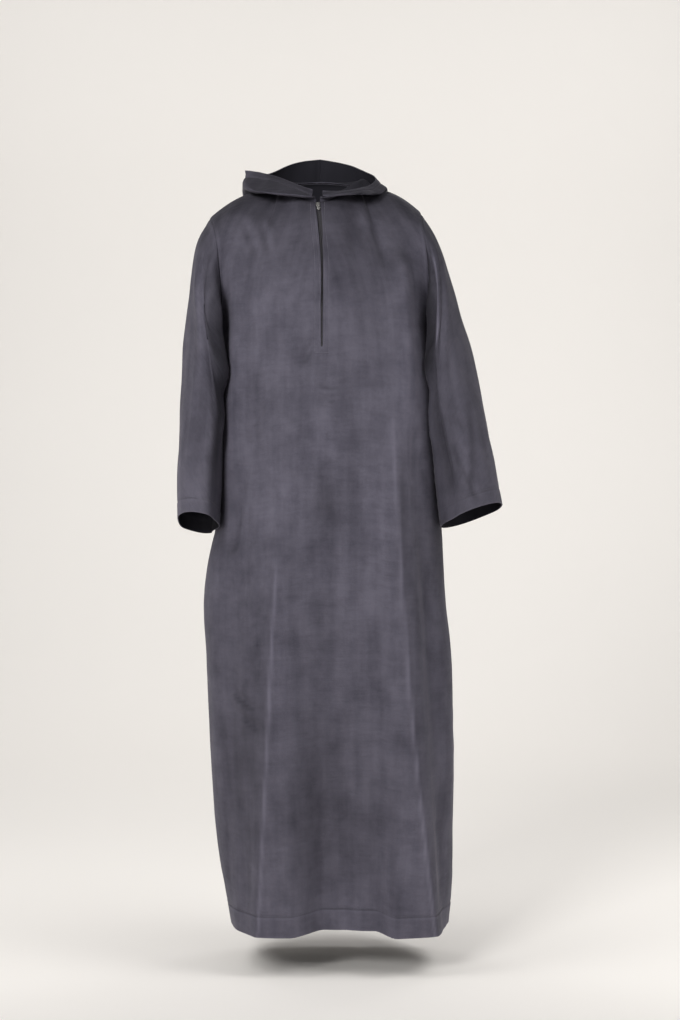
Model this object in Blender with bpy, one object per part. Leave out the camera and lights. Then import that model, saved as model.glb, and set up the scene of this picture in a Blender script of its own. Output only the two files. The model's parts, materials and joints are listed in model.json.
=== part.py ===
"""Thobe robe: a worn, ankle-length hooded robe with a quarter zip, built as cloth walls.

Metres, +Z up, the front faces -Y and the wearer's right side is at -X. The origin is
between the shoulders, at the height where the neck meets them.
"""

import math
from dataclasses import dataclass

import bmesh
import bpy
import numpy as np
from mathutils import Vector
from mathutils.bvhtree import BVHTree

# ---------------------------------------------------------------- driving sizes
WALL = 0.0020
SEAM_GAP = 0.0003
ARMPIT_Z = -0.262
HEM_Z = -1.390
SIDE_SEAM_Y = 0.022

# Zip: the slit runs down the centre front.
SLIT_WIDTH = 0.0050
SLIT_TOP_X = -0.0036
SLIT_LOW_X = 0.0048
SLIT_TOP_Z = -0.036
SLIT_LOW_Z = -0.308
SLIT_BEND = 0.120
TAPE_HALF = 0.0130
TAPE_THICK = 0.0008
COIL_HALF = 0.0021
COIL_RISE = 0.0017
COIL_SUNK = 0.0001
# Triangles that close an end of the tape, by the corners of its section.
TAPE_CAPS = (
    (0, 1, 8), (0, 8, 9), (1, 2, 3), (1, 3, 4), (1, 4, 7), (1, 7, 8), (4, 5, 6), (4, 6, 7),
)  # fmt: skip

# Slider and pull, measured from the slider's middle: across, down the zip and out of the cloth.
SLIDER_DROP = 0.0085
SLIDER_LENGTH = 0.0100
SLIDER_HALF = 0.0040
SLIDER_LOW_HALF = 0.0031
SLIDER_THICK = 0.0014
BRIDGE_HOLE = 0.0030
BRIDGE_LEG = 0.0011
BRIDGE_RISE = 0.0031
BRIDGE_HALF = 0.0010
PIVOT_DOWN = -0.0014
PULL_LIFT = 0.0010
PULL_THICK = 0.0011
PULL_HALF = 0.0027
PULL_WINDOW_HALF = 0.0015
PULL_TAB_HALF = 0.0024
PULL_LENGTH = 0.0140

# Neckline: an oval round the neck, low at the centre front.
NECK_RADIUS_X = 0.074
NECK_RADIUS_FRONT = 0.083
NECK_RADIUS_BACK = 0.075
NECK_CENTRE_Y = -0.005
NECK_FRONT_Z = -0.036
NECK_SIDE_Z = 0.010
NECK_BACK_Z = 0.024
NECK_HALF_V = 0.0045

# The side cloth leans out to the underarm point over this last rise.
UNDERARM_FLARE = 0.006
UNDERARM_RISE = 0.028

# Cells of the cloth grids.
SHOULDER_CELLS = 7
NECK_FRONT_CELLS = 7
NECK_BACK_CELLS = 6
UPPER_ROWS = 9
SHOULDER_SHARE = 0.50
# The column of cells that the slit is cut from.
SLIT_COLUMN = SHOULDER_CELLS + NECK_FRONT_CELLS

CLOTH_COLOUR = (0.115, 0.108, 0.128)
TAPE_COLOUR = (0.05, 0.05, 0.055)
METAL_COLOUR = (0.60, 0.60, 0.61)


# ---------------------------------------------------------------- small helpers
def smooth_step(value):
    """0 below 0, 1 above 1 and a soft curve between them."""
    clipped = np.clip(value, 0.0, 1.0)
    return clipped * clipped * (3.0 - 2.0 * clipped)


def soft_table(at, knots, values):
    """Values between the knots of a table, on a curve with no corners."""
    order = np.argsort(knots)
    x = np.asarray(knots, float)[order]
    y = np.asarray(values, float)[order]
    slope = np.gradient(y, x)
    place = np.clip(at, x[0], x[-1])
    index = np.clip(np.searchsorted(x, place) - 1, 0, len(x) - 2)
    step = x[index + 1] - x[index]
    u = (place - x[index]) / step
    start = (1.0 + 2.0 * u) * (1.0 - u) ** 2 * y[index]
    end = u * u * (3.0 - 2.0 * u) * y[index + 1]
    lean = u * (1.0 - u) ** 2 * slope[index] - u * u * (1.0 - u) * slope[index + 1]
    return start + end + step * lean


def unit(vectors):
    """The vectors at length 1."""
    length = np.linalg.norm(vectors, axis=-1, keepdims=True)
    return vectors / np.maximum(length, 1e-12)


def hermite(start, start_lean, end, end_lean, t):
    """A curve from start to end that leaves and arrives along the two leans."""
    a = (1.0 + 2.0 * t) * (1.0 - t) ** 2
    b = t * (1.0 - t) ** 2
    c = t * t * (3.0 - 2.0 * t)
    d = -t * t * (1.0 - t)
    return a * start + b * start_lean + c * end + d * end_lean


# ---------------------------------------------------------------- body tables
@dataclass(frozen=True)
class BodyRow:
    """One level of the body: its four extents and how square its corners are."""

    z: float
    left: float
    right: float
    front: float
    back: float
    left_square: float
    right_square: float


BODY_ROWS = (
    BodyRow(-0.262, -0.186, 0.202, -0.126, 0.132, 2.1, 2.2),
    BodyRow(-0.350, -0.190, 0.211, -0.131, 0.130, 2.1, 2.2),
    BodyRow(-0.450, -0.193, 0.221, -0.138, 0.126, 2.1, 2.3),
    BodyRow(-0.550, -0.193, 0.227, -0.140, 0.128, 2.1, 2.3),
    BodyRow(-0.640, -0.197, 0.231, -0.140, 0.132, 2.1, 2.4),
    BodyRow(-0.700, -0.210, 0.235, -0.140, 0.136, 2.2, 2.5),
    BodyRow(-0.770, -0.219, 0.239, -0.141, 0.140, 2.2, 2.5),
    BodyRow(-0.874, -0.217, 0.248, -0.142, 0.144, 2.2, 2.6),
    BodyRow(-0.988, -0.213, 0.252, -0.144, 0.149, 2.2, 2.6),
    BodyRow(-1.102, -0.207, 0.254, -0.147, 0.153, 2.2, 2.6),
    BodyRow(-1.216, -0.198, 0.249, -0.150, 0.157, 2.2, 2.7),
    BodyRow(-1.330, -0.180, 0.246, -0.152, 0.160, 2.2, 2.8),
    BodyRow(-1.390, -0.168, 0.239, -0.153, 0.162, 2.3, 2.8),
)
BACK_SQUARE = 2.2

LOWER_ROWS = (
    -1.390, -1.352, -1.310, -1.250, -1.185, -1.115, -1.045, -0.975, -0.905, -0.835,
    -0.770, -0.710, -0.650, -0.590, -0.530, -0.470, -0.412, -0.358, SLIT_LOW_Z, -0.283,
    ARMPIT_Z,
)  # fmt: skip


@dataclass(frozen=True)
class Fold:
    """A standing ridge (height > 0) or trough (height < 0) that runs down a panel."""

    top_z: float
    low_z: float
    top_x: float
    mid_x: float
    low_x: float
    height: float
    left_width: float
    right_width: float
    ease_top: float = 0.15
    ease_low: float = 0.15

    def lift(self, x, z):
        """How far the fold moves the cloth outward at x, z."""
        down = (self.top_z - z) / (self.top_z - self.low_z)
        line = soft_table(down, (0.0, 0.5, 1.0), (self.top_x, self.mid_x, self.low_x))
        offset = x - line
        width = np.where(offset < 0.0, self.left_width, self.right_width)
        ease = smooth_step(down / self.ease_top) * smooth_step((1.0 - down) / self.ease_low)
        return self.height * ease * np.exp(-((offset / width) ** 2))


FRONT_FOLDS = (
    # the long pressed ridge at the wearer's left, then the one at the wearer's right
    Fold(-0.10, -1.60, 0.127, 0.170, 0.224, 0.012, 0.034, 0.018, 0.20, 0.10),
    Fold(-0.50, -1.60, -0.078, -0.094, -0.122, 0.012, 0.024, 0.036, 0.35, 0.10),
    # soft troughs and ridges between and beside them
    Fold(-0.95, -1.60, 0.018, 0.010, 0.004, -0.014, 0.040, 0.055, 0.50, 0.10),
    Fold(-0.42, -0.86, -0.060, -0.058, -0.062, 0.005, 0.024, 0.026),
    Fold(-0.44, -0.80, -0.128, -0.142, -0.156, -0.006, 0.024, 0.024),
    Fold(-0.12, -0.42, 0.150, 0.164, 0.176, 0.005, 0.022, 0.024),
    Fold(-0.04, -0.34, -0.112, -0.100, -0.088, 0.005, 0.022, 0.024),
    Fold(-0.05, -0.30, 0.070, 0.084, 0.098, -0.005, 0.024, 0.022),
    Fold(-0.70, -1.30, -0.160, -0.165, -0.158, -0.007, 0.026, 0.024),
    Fold(-0.66, -1.50, 0.200, 0.220, 0.235, -0.006, 0.018, 0.020),
)
BACK_FOLDS = (
    Fold(-0.45, -1.60, -0.110, -0.125, -0.130, 0.013, 0.030, 0.040, 0.40, 0.10),
    Fold(-0.55, -1.60, 0.030, 0.045, 0.040, -0.012, 0.036, 0.030, 0.35, 0.10),
    Fold(-0.38, -1.60, 0.130, 0.158, 0.172, 0.014, 0.034, 0.028, 0.40, 0.10),
    Fold(-0.72, -1.60, -0.045, -0.036, -0.040, 0.009, 0.024, 0.030, 0.45, 0.10),
    Fold(-0.14, -0.62, -0.135, -0.118, -0.100, -0.006, 0.026, 0.028),
    Fold(-0.16, -0.58, 0.142, 0.132, 0.118, -0.006, 0.026, 0.026),
)

# The front hem is drawn back and a little up between the wearer's legs.
DIP_LEFT_X = -0.055
DIP_LEFT_FULL_X = 0.010
DIP_RIGHT_FULL_X = 0.100
DIP_RIGHT_X = 0.142
DIP_DEPTH = 0.040
DIP_TOP_Z = -0.82
HEM_LIFT = 0.007


# ---------------------------------------------------------------- armholes
@dataclass(frozen=True)
class Armhole:
    """The armhole from the underarm point to the shoulder tip."""

    under: tuple
    tip: tuple
    front_lean: tuple
    front_arrive: tuple
    back_lean: tuple
    back_arrive: tuple


ARMHOLES = {
    -1: Armhole(
        under=(-0.192, SIDE_SEAM_Y, ARMPIT_Z),
        tip=(-0.211, 0.010, -0.053),
        front_lean=(0.050, -0.320, 0.250),
        front_arrive=(-0.050, 0.320, 0.030),
        back_lean=(0.040, 0.260, 0.250),
        back_arrive=(-0.050, -0.280, 0.030),
    ),
    1: Armhole(
        under=(0.208, SIDE_SEAM_Y, ARMPIT_Z),
        tip=(0.193, 0.010, -0.043),
        front_lean=(0.010, -0.320, 0.250),
        front_arrive=(0.020, 0.320, 0.030),
        back_lean=(-0.020, 0.260, 0.250),
        back_arrive=(0.050, -0.280, 0.030),
    ),
}
# Height of the shoulder seam above the straight line from the neck to the tip.
SHOULDER_CROWN = 0.012


def neckline(angle):
    """Point of the neckline. The angle is 0 at the wearer's left and 90 degrees at the back."""
    x = NECK_RADIUS_X * np.cos(angle)
    deep = np.where(np.sin(angle) < 0.0, NECK_RADIUS_FRONT, NECK_RADIUS_BACK)
    y = NECK_CENTRE_Y + deep * np.sin(angle)
    turn = np.abs(np.sin(angle))
    end_z = np.where(np.sin(angle) < 0.0, NECK_FRONT_Z, NECK_BACK_Z)
    z = NECK_SIDE_Z + (end_z - NECK_SIDE_Z) * turn**2.2
    return np.stack([x, y, z], axis=-1)


def slit_centre_x(z):
    """Where the middle of the zip slit is at a height."""
    share = np.clip((SLIT_TOP_Z - z) / SLIT_BEND, 0.0, 1.0)
    return SLIT_TOP_X + (SLIT_LOW_X - SLIT_TOP_X) * smooth_step(share)


class BodyPanel:
    """The front or the back panel as a surface over a column value and a height."""

    def __init__(self, is_front):
        self.is_front = is_front
        self.folds = FRONT_FOLDS if is_front else BACK_FOLDS
        neck = NECK_FRONT_CELLS if is_front else NECK_BACK_CELLS
        middle = 1 if is_front else 0
        self.cells = (SHOULDER_CELLS, neck, middle, neck, SHOULDER_CELLS)

    def columns(self):
        """Column values: 0-1 one shoulder, 1-2 neck, 2-3 slit, 3-4 neck, 4-5 shoulder."""
        parts = [k + np.linspace(0.0, 1.0, n + 1)[:-1] for k, n in enumerate(self.cells) if n]
        return np.concatenate([*parts, [5.0]])

    def level(self, z):
        """The section table's values at a height."""
        knots = [row.z for row in BODY_ROWS]
        names = ("left", "right", "front", "back", "left_square", "right_square")
        return {n: float(soft_table(z, knots, [getattr(r, n) for r in BODY_ROWS])) for n in names}

    def section(self, z, columns):
        """Points of the level at z, spread along the cloth by the column values."""
        level = self.level(z)
        middle = 0.5 * (level["left"] + level["right"])
        across = np.linspace(-1.0, 1.0, 801)
        angle = np.abs(across) * math.pi / 2.0
        sign = np.sign(across)
        if self.is_front:
            square = np.where(sign < 0.0, level["left_square"], level["right_square"])
        else:
            square = np.full_like(across, BACK_SQUARE)
        half = np.where(sign < 0.0, middle - level["left"], level["right"] - middle)
        flare = UNDERARM_FLARE * sign * smooth_step((z - ARMPIT_Z + UNDERARM_RISE) / UNDERARM_RISE)
        x = middle + sign * half * np.sin(angle) ** (2.0 / square) + flare * np.abs(across) ** 10
        reach = level["front"] if self.is_front else level["back"]
        y = SIDE_SEAM_Y + (reach - SIDE_SEAM_Y) * np.cos(angle) ** (2.0 / square)
        steps = np.hypot(np.diff(x), np.diff(y))
        length = np.concatenate([[0.0], np.cumsum(steps)])
        centre = slit_centre_x(z)
        left_edge = np.interp(centre - 0.5 * SLIT_WIDTH, x, length)
        right_edge = np.interp(centre + 0.5 * SLIT_WIDTH, x, length)
        if not self.is_front:
            left_edge = right_edge = 0.5 * (left_edge + right_edge)
        knots = (0.0, 1.0, 2.0, 3.0, 4.0, 5.0)
        places = (
            0.0,
            left_edge * SHOULDER_SHARE,
            left_edge,
            right_edge,
            right_edge + (length[-1] - right_edge) * (1.0 - SHOULDER_SHARE),
            length[-1],
        )
        place = np.interp(columns, knots, places)
        return np.stack(
            [np.interp(place, length, x), np.interp(place, length, y), np.full_like(place, z)],
            axis=-1,
        )

    def top_edge(self, columns):
        """Points of the shoulder seams and the neckline, by column value."""
        side = -1 if self.is_front else 1
        low_turn = 0.5 * math.pi
        if self.is_front:
            low_turn -= NECK_HALF_V / NECK_RADIUS_X
        points = []
        for value in columns:
            if value <= 1.0 or value >= 4.0:
                hand = -1 if value <= 1.0 else 1
                share = value if value <= 1.0 else 5.0 - value
                tip = np.array(ARMHOLES[hand].tip)
                neck = neckline(np.array(math.pi if hand < 0 else 0.0))
                point = tip + (neck - tip) * share
                point[2] += SHOULDER_CROWN * math.sin(math.pi * share) * (1.4 - 0.8 * share)
            elif value <= 2.0:
                point = neckline(np.array(side * (math.pi - (value - 1.0) * low_turn)))
            else:
                point = neckline(np.array(side * (4.0 - value) * low_turn))
            points.append(point)
        points = np.array(points)
        if self.is_front:
            pull = smooth_step((1.4 - np.abs(columns - 2.5)) / 0.9)
            points[:, 0] += pull * SLIT_TOP_X
        return points

    def leans(self, columns):
        """How each column leaves the armpit level and how it reaches the top edge."""
        forward = -1.0 if self.is_front else 1.0
        rise = unit(self.section(ARMPIT_Z - 0.029, columns) - self.section(ARMPIT_Z - 0.040, columns))
        leave = rise * (0.30 if self.is_front else 0.32)
        shoulder = np.array((0.0, -forward * 0.22, 0.035))
        neck = np.array((0.0, -forward * 0.10, 0.17))
        toward = smooth_step((1.25 - np.abs(columns - 2.5)) / 0.5 + 0.5)[:, None]
        arrive = shoulder + (neck - shoulder) * toward
        if self.is_front:
            near_slit = smooth_step((1.7 - np.abs(columns - 2.5)) / 1.2)
            arrive[:, 0] += 3.0 * (SLIT_TOP_X - SLIT_LOW_X) * near_slit
        for hand in (-1, 1):
            hole = ARMHOLES[hand]
            edge_leave = np.array(hole.front_lean if self.is_front else hole.back_lean)
            edge_arrive = np.array(hole.front_arrive if self.is_front else hole.back_arrive)
            distance = columns if hand < 0 else 5.0 - columns
            weight = np.clip(1.0 - distance / 1.25, 0.0, 1.0)[:, None] ** 2
            leave = leave + (edge_leave - leave) * weight
            arrive = arrive + (edge_arrive - arrive) * weight
        return leave, arrive

    def base_grid(self, columns, lower, upper):
        """The smooth worn surface: rows of heights below the armpit, then rows above it."""
        rows = [self.section(z, columns) for z in lower]
        start = self.section(ARMPIT_Z, columns)
        end = self.top_edge(columns)
        leave, arrive = self.leans(columns)
        rows += [hermite(start, leave, end, arrive, t) for t in upper]
        return np.array(rows)

    def grid(self, columns, lower, upper):
        """The surface with its folds and its hem."""
        base = self.base_grid(columns, lower, upper)
        x, z = base[..., 0], base[..., 2]
        amount = sum(fold.lift(x, z) for fold in self.folds)
        side = np.minimum(columns, 5.0 - columns)
        amount = amount * smooth_step(side / 0.30)[None, :]
        down = np.concatenate([np.zeros(len(lower)), np.asarray(upper)])
        amount = amount * smooth_step((1.0 - down) / 0.25)[:, None]
        outward = surface_normals(base, False) * (1.0 if self.is_front else -1.0)
        points = base + outward * amount[..., None]
        if self.is_front:
            fall = smooth_step((DIP_TOP_Z - z) / (DIP_TOP_Z - HEM_Z))
            into = smooth_step((x - DIP_LEFT_X) / (DIP_LEFT_FULL_X - DIP_LEFT_X))
            out_of = smooth_step((DIP_RIGHT_X - x) / (DIP_RIGHT_X - DIP_RIGHT_FULL_X))
            dip = fall * into * out_of
            points[..., 1] += DIP_DEPTH * dip
            points[..., 2] += HEM_LIFT * dip * smooth_step((-1.20 - z) / 0.19)
        return points


# ---------------------------------------------------------------- sleeves
@dataclass(frozen=True)
class SleeveRow:
    """One ring of a sleeve: its outer and inner lines, its middle depth and its half depth."""

    share: float
    outer_x: float
    outer_z: float
    inner_x: float
    inner_z: float
    mid_y: float
    half_depth: float
    front_x: float
    front_rise: float


SLEEVE_ROWS = {
    -1: (
        SleeveRow(0.00, -0.211, -0.053, -0.192, -0.262, 0.016, 0.080, 0.000, 0.000),
        SleeveRow(0.10, -0.233, -0.096, -0.205, -0.300, 0.012, 0.081, 0.006, 0.000),
        SleeveRow(0.22, -0.244, -0.165, -0.200, -0.340, 0.006, 0.080, 0.011, 0.002),
        SleeveRow(0.36, -0.249, -0.240, -0.194, -0.385, -0.003, 0.078, 0.018, 0.004),
        SleeveRow(0.52, -0.253, -0.330, -0.186, -0.440, -0.015, 0.075, 0.020, 0.007),
        SleeveRow(0.68, -0.260, -0.425, -0.184, -0.500, -0.027, 0.073, 0.014, 0.011),
        SleeveRow(0.84, -0.268, -0.525, -0.184, -0.570, -0.038, 0.071, 0.009, 0.015),
        SleeveRow(1.00, -0.266, -0.624, -0.187, -0.640, -0.047, 0.070, 0.006, 0.019),
    ),
    1: (
        SleeveRow(0.00, 0.193, -0.043, 0.208, -0.262, 0.016, 0.080, 0.000, 0.000),
        SleeveRow(0.10, 0.221, -0.088, 0.220, -0.300, 0.012, 0.081, -0.004, 0.000),
        SleeveRow(0.22, 0.247, -0.165, 0.219, -0.340, 0.006, 0.080, -0.012, 0.001),
        SleeveRow(0.36, 0.267, -0.245, 0.216, -0.385, -0.004, 0.076, -0.021, 0.002),
        SleeveRow(0.52, 0.288, -0.335, 0.208, -0.440, -0.017, 0.073, -0.024, 0.004),
        SleeveRow(0.68, 0.309, -0.430, 0.212, -0.500, -0.030, 0.071, -0.018, 0.006),
        SleeveRow(0.84, 0.328, -0.520, 0.219, -0.572, -0.042, 0.069, -0.012, 0.008),
        SleeveRow(1.00, 0.341, -0.596, 0.227, -0.640, -0.052, 0.067, -0.010, 0.009),
    ),
}


@dataclass(frozen=True)
class SleeveFold:
    """A ridge or trough on a sleeve, between two places along it and round it."""

    top_share: float
    low_share: float
    top_turn: float
    low_turn: float
    height: float
    width: float

    def lift(self, turn, share):
        """How far the fold moves the cloth outward at a turn and a share of the length."""
        down = (share - self.top_share) / (self.low_share - self.top_share)
        line = self.top_turn + (self.low_turn - self.top_turn) * np.clip(down, 0.0, 1.0)
        offset = (turn - line + 180.0) % 360.0 - 180.0
        ease = smooth_step(down / 0.25) * smooth_step((1.0 - down) / 0.25)
        return self.height * ease * np.exp(-((offset / self.width) ** 2))


# The turn is 0 at the underarm, 90 at the front, 180 on top and 270 at the back.
SLEEVE_FOLDS = {
    -1: (
        SleeveFold(0.02, 0.62, 118.0, 62.0, -0.0065, 18.0),
        SleeveFold(0.05, 0.75, 146.0, 98.0, 0.005, 16.0),
        SleeveFold(0.30, 1.15, 84.0, 66.0, 0.005, 16.0),
        SleeveFold(0.20, 1.20, 205.0, 236.0, 0.005, 20.0),
        SleeveFold(0.10, 0.80, 250.0, 292.0, -0.006, 20.0),
        SleeveFold(0.00, 0.46, 62.0, 44.0, 0.018, 28.0),
    ),
    1: (
        SleeveFold(0.08, 0.74, 116.0, 66.0, -0.0050, 20.0),
        SleeveFold(0.03, 0.60, 148.0, 98.0, 0.004, 17.0),
        SleeveFold(0.35, 1.15, 66.0, 50.0, -0.006, 18.0),
        SleeveFold(0.25, 1.20, 214.0, 232.0, 0.005, 20.0),
        SleeveFold(0.10, 0.75, 258.0, 296.0, -0.006, 20.0),
        SleeveFold(0.00, 0.44, 62.0, 44.0, 0.013, 28.0),
    ),
}
SLEEVE_SHARES = (0.0, 0.035, 0.08, 0.14, 0.21, 0.29, 0.37, 0.46, 0.55, 0.64, 0.73, 0.82, 0.91, 1.0)
# The inner side of a sleeve lies this far off the body, once this far down from the armhole.
SLEEVE_CLEARANCE = 0.0052
SLEEVE_CLEAR_RUN = 0.070


class Sleeve:
    """A sleeve as rings from the armhole to the cuff."""

    def __init__(self, hand, front_edge, back_edge, body_tree):
        self.hand = hand
        self.body = body_tree
        ring = np.concatenate([front_edge, back_edge[::-1][1:-1]])
        half = len(front_edge) - 1
        self.armhole = ring
        self.turns = np.arange(2 * half) * 180.0 / half

    def ring(self, share):
        """The ring at a share of the sleeve's length, before its folds."""
        rows = SLEEVE_ROWS[self.hand]
        knots = [row.share for row in rows]
        names = [name for name in SleeveRow.__dataclass_fields__ if name != "share"]
        level = {n: float(soft_table(share, knots, [getattr(r, n) for r in rows])) for n in names}
        outer = np.array((level["outer_x"], level["mid_y"], level["outer_z"]))
        inner = np.array((level["inner_x"], level["mid_y"], level["inner_z"]))
        centre = 0.5 * (outer + inner)
        up = 0.5 * (outer - inner)
        ahead = np.array((level["front_x"], -level["half_depth"], level["front_rise"]))
        angle = np.radians(self.turns)[:, None]
        return centre - up * np.cos(angle) + ahead * np.sin(angle)

    def grid(self, shares):
        """The rings with their folds. The first ring is the armhole itself."""
        correction = self.armhole - self.ring(0.0)
        rows = []
        for share in shares:
            fade = (1.0 - smooth_step(share / 0.22)) ** 1.5
            rows.append(self.ring(share) + correction * fade)
        base = np.array(rows)
        turn = self.turns[None, :]
        along = np.asarray(shares)[:, None]
        amount = sum(fold.lift(turn, along) for fold in SLEEVE_FOLDS[self.hand])
        amount = amount * smooth_step(along / 0.06)
        outward = surface_normals(base, True) * -self.hand
        return self.rest_on(base + outward * amount[..., None])

    def rest_on(self, points):
        """Moves the rings off the body where they would lie in it or too near it."""
        steps = np.linalg.norm(np.diff(points, axis=0), axis=-1)
        below = smooth_step(np.cumsum(steps, axis=0) / SLEEVE_CLEAR_RUN)
        inner = smooth_step(0.5 + np.cos(np.radians(self.turns)))
        for row, column in np.ndindex(below.shape):
            point = points[row + 1, column]
            nearest, normal, _face, _distance = self.body.find_nearest(Vector(point))
            outside = (point - np.array(nearest)) @ np.array(normal)
            push = max(SLEEVE_CLEARANCE - outside, 0.0) * below[row, column] * inner[column]
            points[row + 1, column] += np.array(normal) * push
        return points


# ---------------------------------------------------------------- hood
@dataclass(frozen=True)
class HoodRow:
    """One section of the lowered hood, from the neckline out to its fold and back to its rim.

    The angle is 0 at the wearer's left and 90 degrees at the nape. The fold is the outermost
    place of the section, the rim is the face edge that lies loose on top. The stand is how
    high the cloth rises at the neckline, the loft is how far the two layers lie apart.
    """

    angle: float
    fold_x: float
    fold_y: float
    fold_z: float
    stand: float
    loft: float
    rim_x: float
    rim_y: float
    rim_z: float


HOOD_ROWS = {
    -1: (
        HoodRow(-95.0, -0.013, -0.101, -0.031, 0.005, 0.007, -0.012, -0.091, -0.015),
        HoodRow(-112.0, -0.048, -0.106, -0.029, 0.006, 0.009, -0.038, -0.080, -0.005),
        HoodRow(-138.0, -0.098, -0.090, -0.026, 0.008, 0.016, -0.072, -0.058, 0.013),
        HoodRow(-165.0, -0.128, -0.048, -0.017, 0.011, 0.026, -0.108, -0.028, 0.027),
        HoodRow(-190.0, -0.143, 0.006, -0.008, 0.014, 0.034, -0.139, 0.004, 0.038),
        HoodRow(-215.0, -0.136, 0.098, -0.062, 0.016, 0.034, -0.103, 0.054, 0.034),
        HoodRow(-242.0, -0.086, 0.158, -0.190, 0.016, 0.032, -0.062, 0.090, 0.066),
        HoodRow(-270.0, -0.002, 0.172, -0.290, 0.016, 0.030, -0.001, 0.110, 0.078),
    ),
    1: (
        HoodRow(-89.0, 0.006, -0.101, -0.031, 0.005, 0.007, 0.006, -0.092, -0.017),
        HoodRow(-66.0, 0.046, -0.105, -0.027, 0.005, 0.007, 0.041, -0.088, -0.018),
        HoodRow(-40.0, 0.090, -0.088, -0.026, 0.006, 0.008, 0.080, -0.064, -0.008),
        HoodRow(-14.0, 0.116, -0.046, -0.019, 0.009, 0.010, 0.101, -0.028, 0.008),
        HoodRow(10.0, 0.123, 0.008, -0.008, 0.013, 0.014, 0.108, 0.010, 0.026),
        HoodRow(36.0, 0.118, 0.094, -0.060, 0.016, 0.024, 0.089, 0.054, 0.042),
        HoodRow(62.0, 0.082, 0.158, -0.190, 0.016, 0.032, 0.056, 0.088, 0.064),
        HoodRow(90.0, -0.002, 0.172, -0.290, 0.016, 0.030, -0.001, 0.110, 0.078),
    ),
}
HOOD_CLEARANCE = 0.0075
HOOD_END_CLEARANCE = 0.0030
# The least room between the two layers of the lowered hood, measured outside to outside.
HOOD_LAYER_ROOM = 0.0068
PROBE_REACH = 0.20
# Rows of the hood, counted along its guide points from the neckline to the rim.
HOOD_PLACES = (0.0, 1.0, 2.0, 2.5, 3.0, 3.5, 4.0, 5.0, 6.0, 6.5, 7.0, 7.5, 8.0, 8.5, 9.0, 10.0)


class HoodHalf:
    """One half of the lowered hood, as sections round the neck."""

    def __init__(self, hand, neck_points, neck_angles, body_tree):
        self.hand = hand
        self.neck = neck_points
        self.angles = neck_angles
        self.tree = body_tree

    def rise(self, place, away):
        """How far the cloth below stands out past a place, along the way out."""
        start = Vector(place + away * PROBE_REACH)
        _hit, _normal, _face, distance = self.tree.ray_cast(start, Vector(-away), 2.0 * PROBE_REACH)
        return -PROBE_REACH if distance is None else PROBE_REACH - distance

    def guides(self, neck_point, angle, clearance):
        """Guide points of a section: up from the neckline, over, out to the fold and back."""
        rows = HOOD_ROWS[self.hand]
        knots = [row.angle for row in rows]
        names = [name for name in HoodRow.__dataclass_fields__ if name != "angle"]
        row = {n: float(soft_table(angle, knots, [getattr(r, n) for r in rows])) for n in names}
        fold = np.array((row["fold_x"], row["fold_y"], row["fold_z"])) - neck_point
        rim = np.array((row["rim_x"], row["rim_y"], row["rim_z"])) - neck_point
        loft = row["loft"]
        reach = float(np.linalg.norm(fold))
        drop = fold / reach
        outward = unit(np.array((fold[0], fold[1], 0.0)))
        away = unit(outward + np.array((0.0, 0.0, 0.4)))
        aside = unit(np.cross(drop, away))
        away = np.cross(aside, drop)
        stand = row["stand"]
        first = 1.05 * stand

        def low_height(along):
            under = self.rise(neck_point + drop * along, away) + clearance
            past = (along - first) / (2.0 * stand)
            roll = 1.06 * stand * (1.0 - float(smooth_step(past)))
            return max(under, roll, -0.004)

        turn = reach - 0.5 * loft
        spots = [first + (turn - first) * share for share in (0.34, 0.68, 1.0)]
        heights = [low_height(spot) for spot in spots]
        rim_along, rim_up, rim_aside = rim @ drop, rim @ away, rim @ aside
        rim_up = max(rim_up, low_height(rim_along) + HOOD_LAYER_ROOM)
        half_along = turn + (rim_along - turn) * 0.5
        half_up = 0.5 * (heights[2] + loft + rim_up) + 0.10 * loft
        half_up = max(half_up, low_height(half_along) + HOOD_LAYER_ROOM)
        measures = [
            (0.0, 0.0, 0.0),
            (0.03 * stand, 0.60 * stand, 0.0),
            (0.36 * stand, 1.06 * stand, 0.0),
            (first, low_height(first), 0.0),
            (spots[0], heights[0], 0.0),
            (spots[1], heights[1], 0.0),
            (spots[2], heights[2], 0.0),
            (reach, heights[2] + 0.45 * loft, 0.05 * rim_aside),
            (reach - 0.22 * loft, heights[2] + loft, 0.20 * rim_aside),
            (half_along, half_up, 0.55 * rim_aside),
            (rim_along, rim_up, rim_aside),
        ]
        return [neck_point + drop * d + away * h + aside * e for d, h, e in measures]

    def grid(self, places):
        """The sections side by side. The first row is the neckline itself."""
        last = len(self.neck) - 1
        sections = []
        for k, (point, angle) in enumerate(zip(self.neck, self.angles)):
            from_end = k if self.hand < 0 else last - k
            grown = HOOD_CLEARANCE - HOOD_END_CLEARANCE
            clearance = HOOD_END_CLEARANCE + grown * float(smooth_step(from_end / 3.0))
            guides = self.guides(point, angle, clearance)
            index = np.arange(len(guides))
            ways = [soft_table(np.asarray(places), index, [g[k] for g in guides]) for k in range(3)]
            sections.append(np.stack(ways, axis=-1))
        points = np.array(sections).transpose(1, 0, 2)
        points[:, self.centre_column(), 0] = self.neck[self.centre_column()][0]
        return points

    def centre_column(self):
        """Which column is the centre-back seam."""
        return -1 if self.hand < 0 else 0


# ---------------------------------------------------------------- grids to solids
def surface_normals(points, wraps):
    """Normals of a grid of points, from the steps along its rows and columns."""
    down = np.empty_like(points)
    down[1:-1] = points[2:] - points[:-2]
    down[0] = points[1] - points[0]
    down[-1] = points[-1] - points[-2]
    if wraps:
        across = np.roll(points, -1, axis=1) - np.roll(points, 1, axis=1)
    else:
        across = np.empty_like(points)
        across[:, 1:-1] = points[:, 2:] - points[:, :-2]
        across[:, 0] = points[:, 1] - points[:, 0]
        across[:, -1] = points[:, -1] - points[:, -2]
    return unit(np.cross(across, down))


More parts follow.
